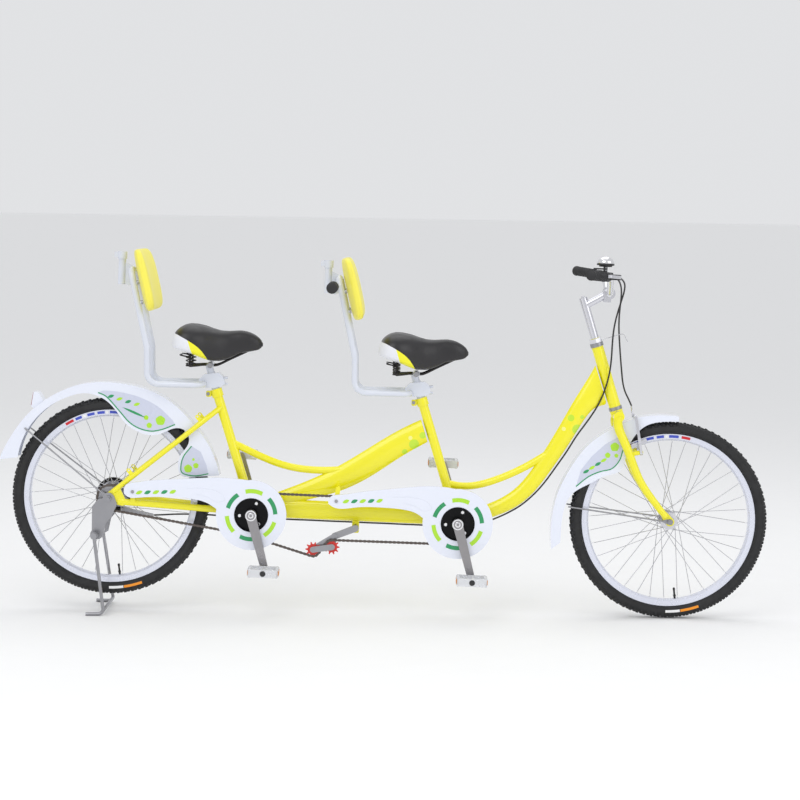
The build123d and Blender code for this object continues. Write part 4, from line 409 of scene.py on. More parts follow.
AMBER = Finish("amber_lens", (0.85, 0.3, 0.02), 0.2, Grain.LEATHER, 0.003, 0.5, see_through=0.3)
RED_LENS = Finish("red_lens", (0.32, 0.01, 0.015), 0.15, Grain.LEATHER, 0.003, 0.6, coat=0.5)
PAD_VINYL = Finish("yellow_vinyl", (0.9, 0.84, 0.006), 0.38, Grain.LEATHER, 0.0022, 0.25, coat=0.1, tone=0.03)
SEAT_VINYL = SaddleVinyl("saddle_vinyl", (0.016, 0.015, 0.017), 0.36, Grain.LEATHER, 0.0022, 0.3, tone=0.12)
CABLE = Finish("cable_jacket", (0.014, 0.013, 0.013), 0.4, Grain.MOULDED, 0.001, 0.1)
WHITE_INK = Finish("white_ink", (0.85, 0.85, 0.85), 0.45, Grain.MOULDED, 0.003, 0.05)
ORANGE_INK = Finish("orange_ink", (0.9, 0.3, 0.01), 0.45, Grain.MOULDED, 0.003, 0.05)
BLUE_INK = Finish("blue_ink", (0.05, 0.08, 0.5), 0.3, Grain.MOULDED, 0.003, 0.05)
RED_INK = Finish("red_ink", (0.6, 0.01, 0.02), 0.3, Grain.MOULDED, 0.003, 0.05)


# ---------------------------------------------------------------- mesh making


class Shape:
    """A mesh put together from turned, extruded and swept members."""

    def __init__(self, name: str) -> None:
        """Start an empty shape with the name of its piece."""
        self.name = name
        self.net = bmesh.new()
        self.finishes: list[Finish] = []
        self.values: dict[str, list[float]] = {}

    def rank(self, finish: Finish) -> int:
        """Material index of a finish, added when it is new."""
        if finish not in self.finishes:
            self.finishes.append(finish)
        return self.finishes.index(finish)

    def add(self, points: Sequence[Vector], faces: Iterable[Sequence[int]], finish: Finish) -> None:
        """Add points and faces with one finish.

        Args:
            points: Corners in metres.
            faces: Rows of corner numbers.
            finish: Finish of the faces.
        """
        index = self.rank(finish)
        corners = [self.net.verts.new(point) for point in points]
        for face in faces:
            made = self.net.faces.new([corners[number] for number in face])
            made.material_index = index

    def rings(self, rings: Sequence[Sequence[Vector]], finish: Finish, loop: bool = False, caps: bool = True) -> None:
        """Skin a row of closed rings of equal count.

        Args:
            rings: Rings of points in metres.
            finish: Finish of the skin.
            loop: Join the last ring to the first.
            caps: Close both ends.
        """
        count = len(rings[0])
        points = [point for ring in rings for point in ring]
        faces: list[list[int]] = []
        for ring in range(len(rings) if loop else len(rings) - 1):
            here, there = ring * count, ((ring + 1) % len(rings)) * count
            for side in range(count):
                far = (side + 1) % count
                faces.append([here + side, here + far, there + far, there + side])
        if caps and not loop:
            faces.append(list(range(count)))
            faces.append(list(range(len(points) - count, len(points))))
        self.add(points, faces, finish)

    def lathe(self, finish: Finish, profile: Sequence[Point2], centre: Vector, axis: Vector,
              segments: int = 32, arc: Point2 | None = None) -> None:
        """Turn a closed profile round an axis.

        Args:
            finish: Finish of the skin.
            profile: Closed outline of (along, radius) in millimetres.
            centre: Origin on the axis, in metres.
            axis: Direction of the axis.
            segments: Steps round the turn.
            arc: First and last angle in degrees, or None for a full turn.
        """
        ahead = aim(1, 0, 0) if abs(axis.y) > 0.9 else Vector((0, 1, 0)).cross(axis).normalized()
        if abs(axis.y) <= 0.9:
            ahead = axis.cross(Vector((0, 1, 0))).normalized()
        up = ahead.cross(axis).normalized() if abs(axis.y) <= 0.9 else aim(0, 0, 1)
        first, last = (0.0, 360.0) if arc is None else arc
        steps = segments if arc is None else segments + 1
        rings = []
        for step in range(steps):
            angle = math.radians(first + (last - first) * step / segments)
            spoke = ahead * math.cos(angle) + up * math.sin(angle)
            rings.append([centre + axis * (along * MM) + spoke * (radius * MM) for along, radius in profile])
        self.rings(rings, finish, loop=arc is None)

    def solid(self, finish: Finish, profile: Sequence[Point2], centre: Vector, axis: Vector,
              segments: int = 24) -> None:
        """Turn an open (along, radius) profile round an axis and close its ends.

        Args:
            finish: Finish of the skin.
            profile: Outline in millimetres from one end to the other.
            centre: Origin on the axis, in metres.
            axis: Direction of the axis.
            segments: Steps round the turn.
        """
        side = axis.orthogonal().normalized()
        other = axis.cross(side)
        rings = []
        for along, radius in profile:
            middle = centre + axis * (along * MM)
            rings.append([
                middle + (side * math.cos(2 * math.pi * step / segments)
                          + other * math.sin(2 * math.pi * step / segments)) * (radius * MM)
                for step in range(segments)
            ])
        self.rings(rings, finish)

    def prism(self, finish: Finish, outline: Sequence[Point2], y_from: float, y_to: float) -> None:
        """Extrude a side-view outline across the bicycle.

        Args:
            finish: Finish of the plate.
            outline: Workshop (x, z) points in millimetres.
            y_from: First face.
            y_to: Second face.
        """
        self.rings([[place(x, y, z) for x, z in outline] for y in (y_from, y_to)], finish)

    def tube(self, finish: Finish, points: Sequence[Point3], radius: float, sides: int = 10) -> None:
        """Sweep a round section along workshop points.

        Args:
            finish: Finish of the tube.
            points: Points in millimetres.
            radius: Radius in millimetres.
            sides: Faces round the section.
        """
        line = [place(*point) for point in points]
        heading = (line[1] - line[0]).normalized()
        side = heading.orthogonal().normalized()
        rings = []
        for index, spot in enumerate(line):
            heading = (line[min(index + 1, len(line) - 1)] - line[max(index - 1, 0)]).normalized()
            side = (side - heading * side.dot(heading)).normalized()
            other = heading.cross(side)
            rings.append([
                spot + (side * math.cos(2 * math.pi * step / sides)
                        + other * math.sin(2 * math.pi * step / sides)) * (radius * MM)
                for step in range(sides)
            ])
        self.rings(rings, finish)

    def absorb(self, mesh: bpy.types.Mesh, finish: Finish) -> None:
        """Add a finished mesh and give it one finish."""
        index = self.rank(finish)
        start = len(self.net.faces)
        self.net.from_mesh(mesh)
        self.net.faces.ensure_lookup_table()
        for face in self.net.faces[start:]:
            face.material_index = index
        bpy.data.meshes.remove(mesh)

    def build(self, body: str, slot: str, replaces: Sequence[str] = (), sharp: float = 38.0) -> bpy.types.Object:
        """Turn the shape into a piece that rides on a body.

        Args:
            body: Body that the piece moves with.
            slot: Not used.
            replaces: CAD nodes that the piece stands for.
            sharp: Angle in degrees past which an edge stays sharp.

        Returns:
            The piece.
        """
        bmesh.ops.remove_doubles(self.net, verts=self.net.verts, dist=1e-7)
        bmesh.ops.recalc_face_normals(self.net, faces=self.net.faces)
        mesh = bpy.data.meshes.new(self.name)
        self.net.to_mesh(mesh)
        self.net.free()
        for finish in self.finishes:
            mesh.materials.append(finish.material())
        mesh.shade_smooth()
        mesh.set_sharp_from_angle(angle=math.radians(sharp))
        piece = bpy.data.objects.new(self.name, mesh)
        bpy.context.scene.collection.objects.link(piece)
        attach(piece, body)
        if replaces:
            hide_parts(*replaces)
        LOG.info("%s: %d faces on %s", self.name, len(mesh.polygons), body)
        return piece


# ---------------------------------------------------------------- repeated things


class Pattern:
    """Geometry Nodes trees for what repeats round a wheel or along a path."""

    def __init__(self, name: str, inputs: Sequence[tuple[str, str]]) -> None:
        """Start a tree with named inputs.

        Args:
            name: Name of the tree.
            inputs: Pairs of input name and socket kind.
        """
        self.tree = bpy.data.node_groups.new(name, "GeometryNodeTree")
        for label, kind in inputs:
            self.tree.interface.new_socket(label, in_out="INPUT", socket_type=kind)
        self.tree.interface.new_socket("Geometry", in_out="OUTPUT", socket_type="NodeSocketGeometry")
        self.entry = self.tree.nodes.new("NodeGroupInput")
        self.exit = self.tree.nodes.new("NodeGroupOutput")

    def node(self, kind: str, **facts: object) -> bpy.types.Node:
        """Add a node and set its own properties."""
        node = self.tree.nodes.new(kind)
        for key, value in facts.items():
            setattr(node, key, value)
        return node

    def link(self, start: bpy.types.NodeSocket, end: bpy.types.NodeSocket) -> None:
        """Join two sockets."""
        self.tree.links.new(start, end)

    def close(self, instances: bpy.types.NodeSocket) -> None:
        """End the tree in Realize Instances and Set Material."""
        realize = self.node("GeometryNodeRealizeInstances")
        paint = self.node("GeometryNodeSetMaterial")
        self.link(instances, realize.inputs[0])
        self.link(realize.outputs[0], paint.inputs["Geometry"])
        self.link(self.entry.outputs["Material"], paint.inputs["Material"])
        self.link(paint.outputs[0], self.exit.inputs[0])

    def run(self, values: dict[str, object]) -> bpy.types.Mesh:
        """Evaluate the tree once and return a plain mesh.

        Args:
            values: Value of each named input.

        Returns:
            The realised mesh.
        """
        carrier = bpy.data.objects.new("pattern_carrier", bpy.data.meshes.new("pattern_carrier"))
        bpy.context.scene.collection.objects.link(carrier)
        modifier = carrier.modifiers.new("pattern", "NODES")
        modifier.node_group = self.tree
        for item in self.tree.interface.items_tree:
            if item.in_out == "INPUT" and item.name in values:
                modifier[item.identifier] = values[item.name]
        graph = bpy.context.evaluated_depsgraph_get()
        graph.update()
        mesh = bpy.data.meshes.new_from_object(carrier.evaluated_get(graph))
        carrier.modifiers.remove(modifier)
        bpy.data.objects.remove(carrier)
        return mesh


def ring_pattern() -> Pattern:
    """Tree that sets one member at equal steps round a crosswise circle.

    Returns:
        The pattern, whose member lies with its own Z outwards.
    """
    pattern = Pattern("ring_of_members", (
        ("Member", "NodeSocketObject"), ("Count", "NodeSocketInt"), ("Radius", "NodeSocketFloat"),
        ("Across", "NodeSocketFloat"), ("Start Angle", "NodeSocketFloat"), ("Centre", "NodeSocketVector"),
        ("Material", "NodeSocketMaterial"),
    ))
    entry = pattern.entry
    line = pattern.node("GeometryNodePoints")
    index = pattern.node("GeometryNodeInputIndex")
    turn = pattern.node("ShaderNodeMath", operation="DIVIDE")
    angle = pattern.node("ShaderNodeMath", operation="MULTIPLY_ADD")
    euler = pattern.node("ShaderNodeCombineXYZ")
    offset = pattern.node("ShaderNodeCombineXYZ")
    spin = pattern.node("ShaderNodeVectorRotate", rotation_type="EULER_XYZ")
    shift = pattern.node("ShaderNodeVectorMath", operation="ADD")
    move = pattern.node("GeometryNodeSetPosition")
    member = pattern.node("GeometryNodeObjectInfo")
    copies = pattern.node("GeometryNodeInstanceOnPoints")
    pattern.link(entry.outputs["Count"], line.inputs["Count"])
    pattern.link(index.outputs[0], turn.inputs[0])
    pattern.link(entry.outputs["Count"], turn.inputs[1])
    pattern.link(turn.outputs[0], angle.inputs[0])
    angle.inputs[1].default_value = 2 * math.pi
    pattern.link(entry.outputs["Start Angle"], angle.inputs[2])
    pattern.link(angle.outputs[0], euler.inputs["Y"])
    pattern.link(entry.outputs["Across"], offset.inputs["Y"])
    pattern.link(entry.outputs["Radius"], offset.inputs["Z"])
    pattern.link(offset.outputs[0], spin.inputs["Vector"])
    pattern.link(euler.outputs[0], spin.inputs["Rotation"])
    pattern.link(spin.outputs[0], shift.inputs[0])
    pattern.link(entry.outputs["Centre"], shift.inputs[1])
    pattern.link(line.outputs[0], move.inputs["Geometry"])
    pattern.link(shift.outputs[0], move.inputs["Position"])
    pattern.link(entry.outputs["Member"], member.inputs[0])
    pattern.link(move.outputs[0], copies.inputs["Points"])
    pattern.link(member.outputs["Geometry"], copies.inputs["Instance"])
    pattern.link(euler.outputs[0], copies.inputs["Rotation"])
    pattern.close(copies.outputs[0])
    return pattern


def path_pattern() -> Pattern:
    """Tree that sets one member at equal steps along a closed or open line.

    Returns:
        The pattern, whose member lies with its own X along the line.
    """
    pattern = Pattern("members_along_path", (
        ("Member", "NodeSocketObject"), ("Path", "NodeSocketObject"), ("Count", "NodeSocketInt"),
        ("Material", "NodeSocketMaterial"),
    ))
    entry = pattern.entry
    path = pattern.node("GeometryNodeObjectInfo")
    steps = pattern.node("GeometryNodeResampleCurve")
    points = pattern.node("GeometryNodeCurveToPoints", mode="EVALUATED")
    tangent = pattern.node("GeometryNodeInputTangent")
    keep = pattern.node("GeometryNodeCaptureAttribute")
    turn = pattern.node("FunctionNodeAlignRotationToVector", axis="X", pivot_axis="Y")
    member = pattern.node("GeometryNodeObjectInfo")
    copies = pattern.node("GeometryNodeInstanceOnPoints")
    keep.capture_items.new("VECTOR", "Tangent")
    pattern.link(entry.outputs["Path"], path.inputs[0])
    pattern.link(path.outputs["Geometry"], steps.inputs["Curve"])
    pattern.link(entry.outputs["Count"], steps.inputs["Count"])
    pattern.link(steps.outputs[0], keep.inputs[0])
    pattern.link(tangent.outputs[0], keep.inputs[1])
    pattern.link(keep.outputs[0], points.inputs[0])
    pattern.link(keep.outputs[1], turn.inputs["Vector"])
    pattern.link(entry.outputs["Member"], member.inputs[0])
    pattern.link(points.outputs[0], copies.inputs["Points"])
    pattern.link(member.outputs["Geometry"], copies.inputs["Instance"])
    pattern.link(turn.outputs[0], copies.inputs["Rotation"])
    pattern.close(copies.outputs[0])
    return pattern


def coil_pattern() -> Pattern:
    """Tree that winds a coil spring.

    Returns:
        The pattern, with the coil standing on its own origin.
    """
    pattern = Pattern("coil_spring", (
        ("Turns", "NodeSocketFloat"), ("Coil Radius", "NodeSocketFloat"), ("Height", "NodeSocketFloat"),
        ("Wire Radius", "NodeSocketFloat"), ("Centre", "NodeSocketVector"), ("Material", "NodeSocketMaterial"),
    ))
    entry = pattern.entry
    coil = pattern.node("GeometryNodeCurveSpiral")
    section = pattern.node("GeometryNodeCurvePrimitiveCircle")
    wire = pattern.node("GeometryNodeCurveToMesh")
    move = pattern.node("GeometryNodeTransform")
    coil.inputs["Resolution"].default_value = 22
    section.inputs["Resolution"].default_value = 8
    wire.inputs["Fill Caps"].default_value = True
    pattern.link(entry.outputs["Turns"], coil.inputs["Rotations"])
    pattern.link(entry.outputs["Coil Radius"], coil.inputs["Start Radius"])
    pattern.link(entry.outputs["Coil Radius"], coil.inputs["End Radius"])
    pattern.link(entry.outputs["Height"], coil.inputs["Height"])
    pattern.link(entry.outputs["Wire Radius"], section.inputs["Radius"])
    pattern.link(coil.outputs[0], wire.inputs["Curve"])
    pattern.link(section.outputs[0], wire.inputs["Profile Curve"])
    pattern.link(wire.outputs[0], move.inputs["Geometry"])
    pattern.link(entry.outputs["Centre"], move.inputs["Translation"])
    pattern.close(move.outputs[0])
    return pattern


@dataclass
class Workshop:
    """The trees and small members that several sub-assemblies share."""

    ring: Pattern = field(default_factory=ring_pattern)
    path: Pattern = field(default_factory=path_pattern)
    coil: Pattern = field(default_factory=coil_pattern)

    def member(self, name: str, points: Sequence[Point3], faces: Sequence[Sequence[int]]) -> bpy.types.Object:
        """Make one small member, in millimetres round its own origin."""
        mesh = bpy.data.meshes.new(name)
        mesh.from_pydata([Vector(point) * MM for point in points], [], faces)
        member = bpy.data.objects.new(name, mesh)
        bpy.context.scene.collection.objects.link(member)
        return member

    def block(self, name: str, length: float, width: float, height: float, taper: float) -> bpy.types.Object:
        """Make a tapered block that stands on its origin.

        Args:
            name: Name of the member.
            length: Size along X.
            width: Size along Y.
            height: Size along Z.
            taper: Share of the foot that the top keeps.

        Returns:
            The member.
        """
        corners = ((-1, -1), (1, -1), (1, 1), (-1, 1))
        foot = [(x * length / 2, y * width / 2, 0.0) for x, y in corners]
        top = [(x * length * taper / 2, y * width * taper / 2, height) for x, y in corners]
        sides = [(side, (side + 1) % 4, 4 + (side + 1) % 4, 4 + side) for side in range(4)]
        return self.member(name, foot + top, [(3, 2, 1, 0), (4, 5, 6, 7), *sides])

    def discard(self, member: bpy.types.Object) -> None:
        """Remove a member once its copies are made."""
        bpy.data.objects.remove(member)

    def round_wheel(self, member: bpy.types.Object, finish: Finish, count: int, radius: float, across: float,
                    start: float, centre: Vector) -> bpy.types.Mesh:
        """Set a member round a wheel.

        Args:
            member: Member to repeat.
            finish: Finish of the copies.
            count: Number of copies.
            radius: Radius in millimetres.
            across: Sideways place in millimetres.
            start: First angle in degrees.
            centre: Axle in metres.

        Returns:
            The mesh of all copies.
        """
        return self.ring.run({
            "Member": member, "Count": count, "Radius": radius * MM, "Across": across * MM,
            "Start Angle": math.radians(start), "Centre": tuple(centre), "Material": finish.material(),
        })

    def along(self, member: bpy.types.Object, finish: Finish, line: Sequence[Vector], count: int,
              closed: bool) -> bpy.types.Mesh:
        """Set a member along a line of points.

        Args:
            member: Member to repeat.
            finish: Finish of the copies.
            line: Points in metres.
            count: Number of copies.
            closed: Whether the line comes back to its start.

        Returns:
            The mesh of all copies.
        """
        curve = bpy.data.curves.new("path", "CURVE")
        curve.dimensions = "3D"
        spline = curve.splines.new("POLY")
        spline.points.add(len(line) - 1)
        for point, spot in zip(spline.points, line):
            point.co = (*spot, 1.0)
        spline.use_cyclic_u = closed
        path = bpy.data.objects.new("path", curve)
        bpy.context.scene.collection.objects.link(path)
        mesh = self.path.run({"Member": member, "Path": path, "Count": count, "Material": finish.material()})
        bpy.data.objects.remove(path)
        return mesh


# ---------------------------------------------------------------- wheels


@dataclass
class Wheel:
    """Tyre, rim marks, nipples and valve of one wheel."""

    prefix: str
    axle_x: float
    shop: Workshop
    tyre_radius: float = 298.0
    half_width: float = 22.8
    knobs: int = 84
    band_angles: tuple[float, float, float] = (-89.0, -80.0, -68.0)

    def centre(self) -> Vector:
        """Axle in metres."""
        return place(self.axle_x, 0, 0)

    def build(self) -> None:
        """Make and dress the wheel's pieces."""
        body = f"{self.prefix}_wheel"
        self.tyre(body)
        self.marks(body)
        self.nipples(body)

    def profile(self) -> list[Point2]:
        """Closed tyre section, without its knobs."""
        half, crown = self.half_width, self.tyre_radius - 3.6
        outer = [(11.5, 255.5), (11.6, 261.5), (16.2, 263.4), (20.0, 267.0), (22.0, 271.5), (half, 277.0),
                 (22.4, 282.0), (20.8, 286.2), (17.6, 289.6), (12.0, 292.4), (6.0, crown - 0.4), (0.0, crown)]
        left = [(-along, radius) for along, radius in reversed(outer[:-1])]
        inner = [(-8.5, 255.5), (-8.5, 266.0), (-17.0, 277.0), (0.0, 288.0), (17.0, 277.0), (8.5, 266.0),
                 (8.5, 255.5)]
        return outer + left + inner

    def tyre(self, body: str) -> None:
        """Casing, sidewall ribs, tread knobs, sidewall band and valve."""
        shape = Shape(f"{self.prefix}_tyre_moulding")
        axis, centre = Vector((0, 1, 0)), self.centre()
        shape.lathe(TYRE, self.profile(), centre, axis, 128)
        for side in (1, -1):
            for radius, across in ((268.5, 20.7), (284.2, 21.9)):
                shape.lathe(TYRE, [(side * (across - 0.6), radius - 0.9), (side * (across + 0.45), radius),
                                   (side * (across - 0.6), radius + 0.9)], centre, axis, 128)
            first, middle, last = self.band_angles
            for finish, arc in ((WHITE_INK, (first, middle)), (ORANGE_INK, (middle + 0.4, last))):
                shape.lathe(finish, [(side * 22.3, 272.5), (side * 23.0, 274.8), (side * 23.1, 277.5),
                                     (side * 22.9, 280.0), (side * 22.0, 280.2), (side * 21.6, 275.0)],
                            centre, axis, 10, arc)
        blocks = (
            (9.0, 7.0, 3.6, 0.84, 294.1, 0.0, 0.0, 1.0), (10.0, 5.4, 3.4, 0.8, 292.2, 8.6, 0.5, 1.0),
            (9.0, 5.0, 3.4, 0.78, 288.8, 15.6, 0.0, 1.0),
        )
        step = 360.0 / self.knobs
        for length, width, height, taper, radius, across, phase, _ in blocks:
            knob = self.shop.block("knob", length, width, height, taper)
            for side in ((1,) if across == 0 else (1, -1)):
                shape.absorb(self.shop.round_wheel(knob, TYRE, self.knobs, radius, side * across, phase * step, centre),
                             TYRE)
            self.shop.discard(knob)
        shoulder = self.shop.block("shoulder_knob", 6.5, 2.2, 7.5, 0.9)
        for side in (1, -1):
            shape.absorb(self.shop.round_wheel(shoulder, TYRE, self.knobs, 281.4, side * 21.4, step / 2, centre), TYRE)
        self.shop.discard(shoulder)
        angle = math.radians(-82)
        spoke = aim(math.cos(angle), 0, math.sin(angle))
        shape.solid(TYRE, [(256, 3.2), (236, 3.2), (234, 4.2), (230, 4.2), (229, 2.9), (216, 2.9), (214, 3.6),
                           (209, 3.4), (208, 2.2)], centre, spoke, 14)
        shape.build(body, "tyre_rubber", [f"{self.prefix}_tyre"])

    def marks(self, body: str) -> None:
        """Red, blue and white bars on the rim's flanks, near the top when parked."""
        shape = Shape(f"{self.prefix}_rim_marks")
        bars = ((RED_INK, 118, 124), (BLUE_INK, 112, 116.5), (WHITE_INK, 109, 111), (BLUE_INK, 103, 108),
                (BLUE_INK, 96, 101), (WHITE_INK, 93.5, 95), (BLUE_INK, 86, 92.5), (RED_INK, 78, 84))
        for side in (1, -1):
            for finish, first, last in bars:
                shape.lathe(finish, [(side * 13.98, 249.5), (side * 14.25, 249.5), (side * 14.25, 257.5),
                                     (side * 13.98, 257.5)], self.centre(), Vector((0, 1, 0)), 6, (first, last))
        shape.build(body, "alloy")

    def nipples(self, body: str) -> None:
        """Thirty-six spoke nipples on the inside of the rim."""
        shape = Shape(f"{self.prefix}_nipples")
        nipple = self.shop.block("nipple", 3.4, 3.4, 9.0, 0.85)
        for side in (1, -1):
            for twist in (1, -1):
                start = 10 * (side < 0) + 20 * (twist < 0) + 60 * twist
                across = side * (4.0 + twist * 1.3)
                shape.absorb(self.shop.round_wheel(nipple, CHROME, 9, 232.5, across, 90 - start - math.degrees(PITCH) * -1,
                                                   self.centre()), CHROME)
        self.shop.discard(nipple)
        shape.build(body, "bright_steel")


# ---------------------------------------------------------------- drive


@dataclass
class Drive:
    """Chains, crank bolts and pedals."""

    shop: Workshop
    pitch: float = 12.7
    crank_length: float = 165.0
    crank_lean: float = 16.5
    pedal_y: float = 144.0
    crank_out: float = 94.0

    def build(self) -> None:
        """Make and dress the pieces of the drive."""
        self.chains()
        for prefix, crank in (("rear", REAR_CRANK), ("front", FRONT_CRANK)):
            self.bolts(prefix, crank)
            for word, side in (("right", -1), ("left", 1)):
                self.pedal(prefix, word, crank, side)

    def pitch_radius(self, teeth: int) -> float:
        """Pitch radius of a chain wheel."""
        return self.pitch / (2 * math.sin(math.pi / teeth))

    def loop(self, wheels: Sequence[tuple[float, float, float]], y: float) -> list[Vector]:
        """Line of a chain round wheels given as (x, z, signed radius).

        Args:
            wheels: Wheels in order, with a positive radius inside the loop.
            y: Sideways place of the chain.

        Returns:
            Points along the loop, in metres.
        """
        tangents = []
        for index, (x1, z1, r1) in enumerate(wheels):
            x2, z2, r2 = wheels[(index + 1) % len(wheels)]
            heading = math.atan2(z2 - z1, x2 - x1) + math.asin((r2 - r1) / math.hypot(x2 - x1, z2 - z1))
            left = (-math.sin(heading), math.cos(heading))
            tangents.append(((x1 + r1 * left[0], z1 + r1 * left[1]), (x2 + r2 * left[0], z2 + r2 * left[1])))
        line: list[Vector] = []
        for index, (start, end) in enumerate(tangents):
            x, z, radius = wheels[(index + 1) % len(wheels)]
            leave = tangents[(index + 1) % len(wheels)][0]
            first, last = math.atan2(end[1] - z, end[0] - x), math.atan2(leave[1] - z, leave[0] - x)
            turn = -((first - last) % (2 * math.pi)) if radius > 0 else (last - first) % (2 * math.pi)
            line.append(place(start[0], y, start[1]))
            for step in range(13):
                angle = first + turn * step / 12
                line.append(place(x + abs(radius) * math.cos(angle), y, z + abs(radius) * math.sin(angle)))
        return line

    def link_member(self) -> bpy.types.Object:
        """Two plates and a roller of one link, waisted at the middle."""
        points: list[Point3] = []
        faces: list[Sequence[int]] = []
        outline = ((-7.6, 0.0), (-6.3, 3.6), (-3.4, 3.4), (0.0, 2.3), (3.4, 3.4), (6.3, 3.6), (7.6, 0.0), (6.3, -3.6),
                   (3.4, -3.4), (0.0, -2.3), (-3.4, -3.4), (-6.3, -3.6))
        count = len(outline)
        for inner, outer in ((2.7, 3.7), (-2.7, -3.7)):
            base = len(points)
            points += [(x, inner, z) for x, z in outline] + [(x, outer, z) for x, z in outline]
            faces += [[base + i for i in range(count)], [base + count + i for i in range(count)]]
            faces += [[base + i, base + (i + 1) % count, base + count + (i + 1) % count, base + count + i]
                      for i in range(count)]
        base = len(points)
        points += [(6.35 + 2.6 * math.cos(math.pi * i / 4), y, 2.6 * math.sin(math.pi * i / 4))
                   for y in (-3.9, 3.9) for i in range(8)]
        faces += [[base + i, base + (i + 1) % 8, base + 8 + (i + 1) % 8, base + 8 + i] for i in range(8)]
        faces += [[base + i for i in range(8)], [base + 8 + i for i in range(8)]]
        return self.shop.member("chain_link", points, faces)

    def chains(self) -> None:
        """Both chains, link by link."""
        ring, pulley = self.pitch_radius(32), self.pitch_radius(10)
        loops = (
            self.loop(((*REAR_CRANK, ring), (*FRONT_CRANK, ring), (672.0, -119.0, -pulley), (616.0, -129.0, pulley)),
                      -56.0),
            self.loop(((0.0, 0.0, self.pitch_radius(18)), (*REAR_CRANK, ring)), -46.0),
        )
        shape = Shape("chain_links")
        link = self.link_member()
        for line in loops:
            length = sum((after - before).length for before, after in zip(line, line[1:] + line[:1]))
            count = round(length / (self.pitch * MM))
            shape.absorb(self.shop.along(link, CHAIN_STEEL, line, count, True), CHAIN_STEEL)
        self.shop.discard(link)
        shape.build("frame", "black_steel", ["chains"], 30)

    def bolts(self, prefix: str, crank: Point2) -> None:
        """Chain wheel bolts and the crank caps."""
        shape = Shape(f"{prefix}_crank_bolts")
        across = Vector((0, 1, 0))
        for turn in range(3):
            angle = math.radians(68 + 120 * turn)
            spot = place(crank[0] + 36 * math.cos(angle), -61.5, crank[1] + 36 * math.sin(angle))
            shape.solid(CHROME, [(0, 5.2), (-1.2, 5.2), (-2.0, 4.2), (-2.0, 2.2), (-1.0, 2.0)], spot, across, 12)
        for side in (1, -1):
            spot = place(crank[0], side * (self.crank_out - 3.5), crank[1])
            shape.solid(CHROME, [(0, 8.4), (side * 3.9, 8.4), (side * 4.4, 7.6), (side * 4.4, 4.2), (side * 2.6, 4.0)],
                        spot, across, 24)
            shape.lathe(CHROME, [(side * 3.2, 12.2), (side * 4.0, 12.6), (side * 4.0, 16.0), (side * 3.2, 16.6)],
                        spot, across, 32)
        shape.build(f"{prefix}_cranks", "bright_steel")

    def pedal(self, prefix: str, word: str, crank: Point2, side: int) -> None:
        """Platform pedal with cross ribs, pins, end caps and two lenses.

        Args:
            prefix: Rear or front.
            word: Right or left.
            crank: Crank axle in the side view.
            side: Minus one for the right, one for the left.
        """
        lean = math.radians(-90 + self.crank_lean)
        reach = self.crank_length if side < 0 else -self.crank_length
        x, z = crank[0] + reach * math.cos(lean), crank[1] + reach * math.sin(lean)
        shape = Shape(f"{prefix}_{word}_pedal_platform")
        name = f"{prefix}_{word}_pedal"
        y = side * self.pedal_y

        def bar(finish: Finish, x0: float, x1: float, y0: float, y1: float, z0: float, z1: float,
                ease: float = 1.4) -> None:
            """One moulded bar with eased edges, round the pedal's middle."""
            outline = [(x0 + ease, z0), (x1 - ease, z0), (x1, z0 + ease), (x1, z1 - ease), (x1 - ease, z1),
                       (x0 + ease, z1), (x0, z1 - ease), (x0, z0 + ease)]
            shape.prism(finish, [(x + a, z + b) for a, b in outline], y + y0, y + y1)

        for end in (-1, 1):
            bar(PEDAL_CLEAR, min(end * 35, end * 44), max(end * 35, end * 44), -36, 36, -12.5, 12.5)
            bar(PEDAL_CLEAR, -41, 41, end * 35 - 5, end * 35 + 5, -11.5, 11.5, 3.0)
            bar(AMBER, min(end * 43.6, end * 46.5), max(end * 43.6, end * 46.5), -25, 25, -7.5, 7.5, 1.0)
            for row in (-1, 1):
                bar(PEDAL_CLEAR, min(end * 44, end * 45.6), max(end * 44, end * 45.6), -29, 29,
                    min(row * 8.2, row * 11), max(row * 8.2, row * 11), 0.6)
        for rib in (-20, 0, 20):
            bar(PEDAL_CLEAR, -36, 36, rib - 1.6, rib + 1.6, -10.5, 10.5, 2.0)
        for rib in (-22, 22):
            bar(PEDAL_CLEAR, rib - 1.8, rib + 1.8, -34, 34, -9.5, 9.5, 0.8)
        shape.solid(PEDAL_CLEAR, [(-39, 9.5), (-30, 11.0), (30, 11.0), (39, 9.5)], place(x, y, z), Vector((0, 1, 0)), 20)
        shape.solid(BLACK_PLASTIC, [(36, 8.5), (41, 8.5), (41.8, 7.0), (41.8, 0.6)], place(x, y, z),
                    Vector((0, side, 0)), 20)
        pin = self.shop.block("pin", 3.0, 3.0, 1.6, 0.7)
        for face in (-1, 1):
            for row in (-39.5, 39.5):
                line = [place(x + row, y + offset, z + face * 12.3) for offset in (-30, 30)]
                shape.absorb(self.shop.along(pin, PEDAL_CLEAR, line, 9, False), PEDAL_CLEAR)
        self.shop.discard(pin)
        shape.build(f"{prefix}_{word}_pedal_body", "pedal_plastic", [name])


# ---------------------------------------------------------------- graphics on the mouldings


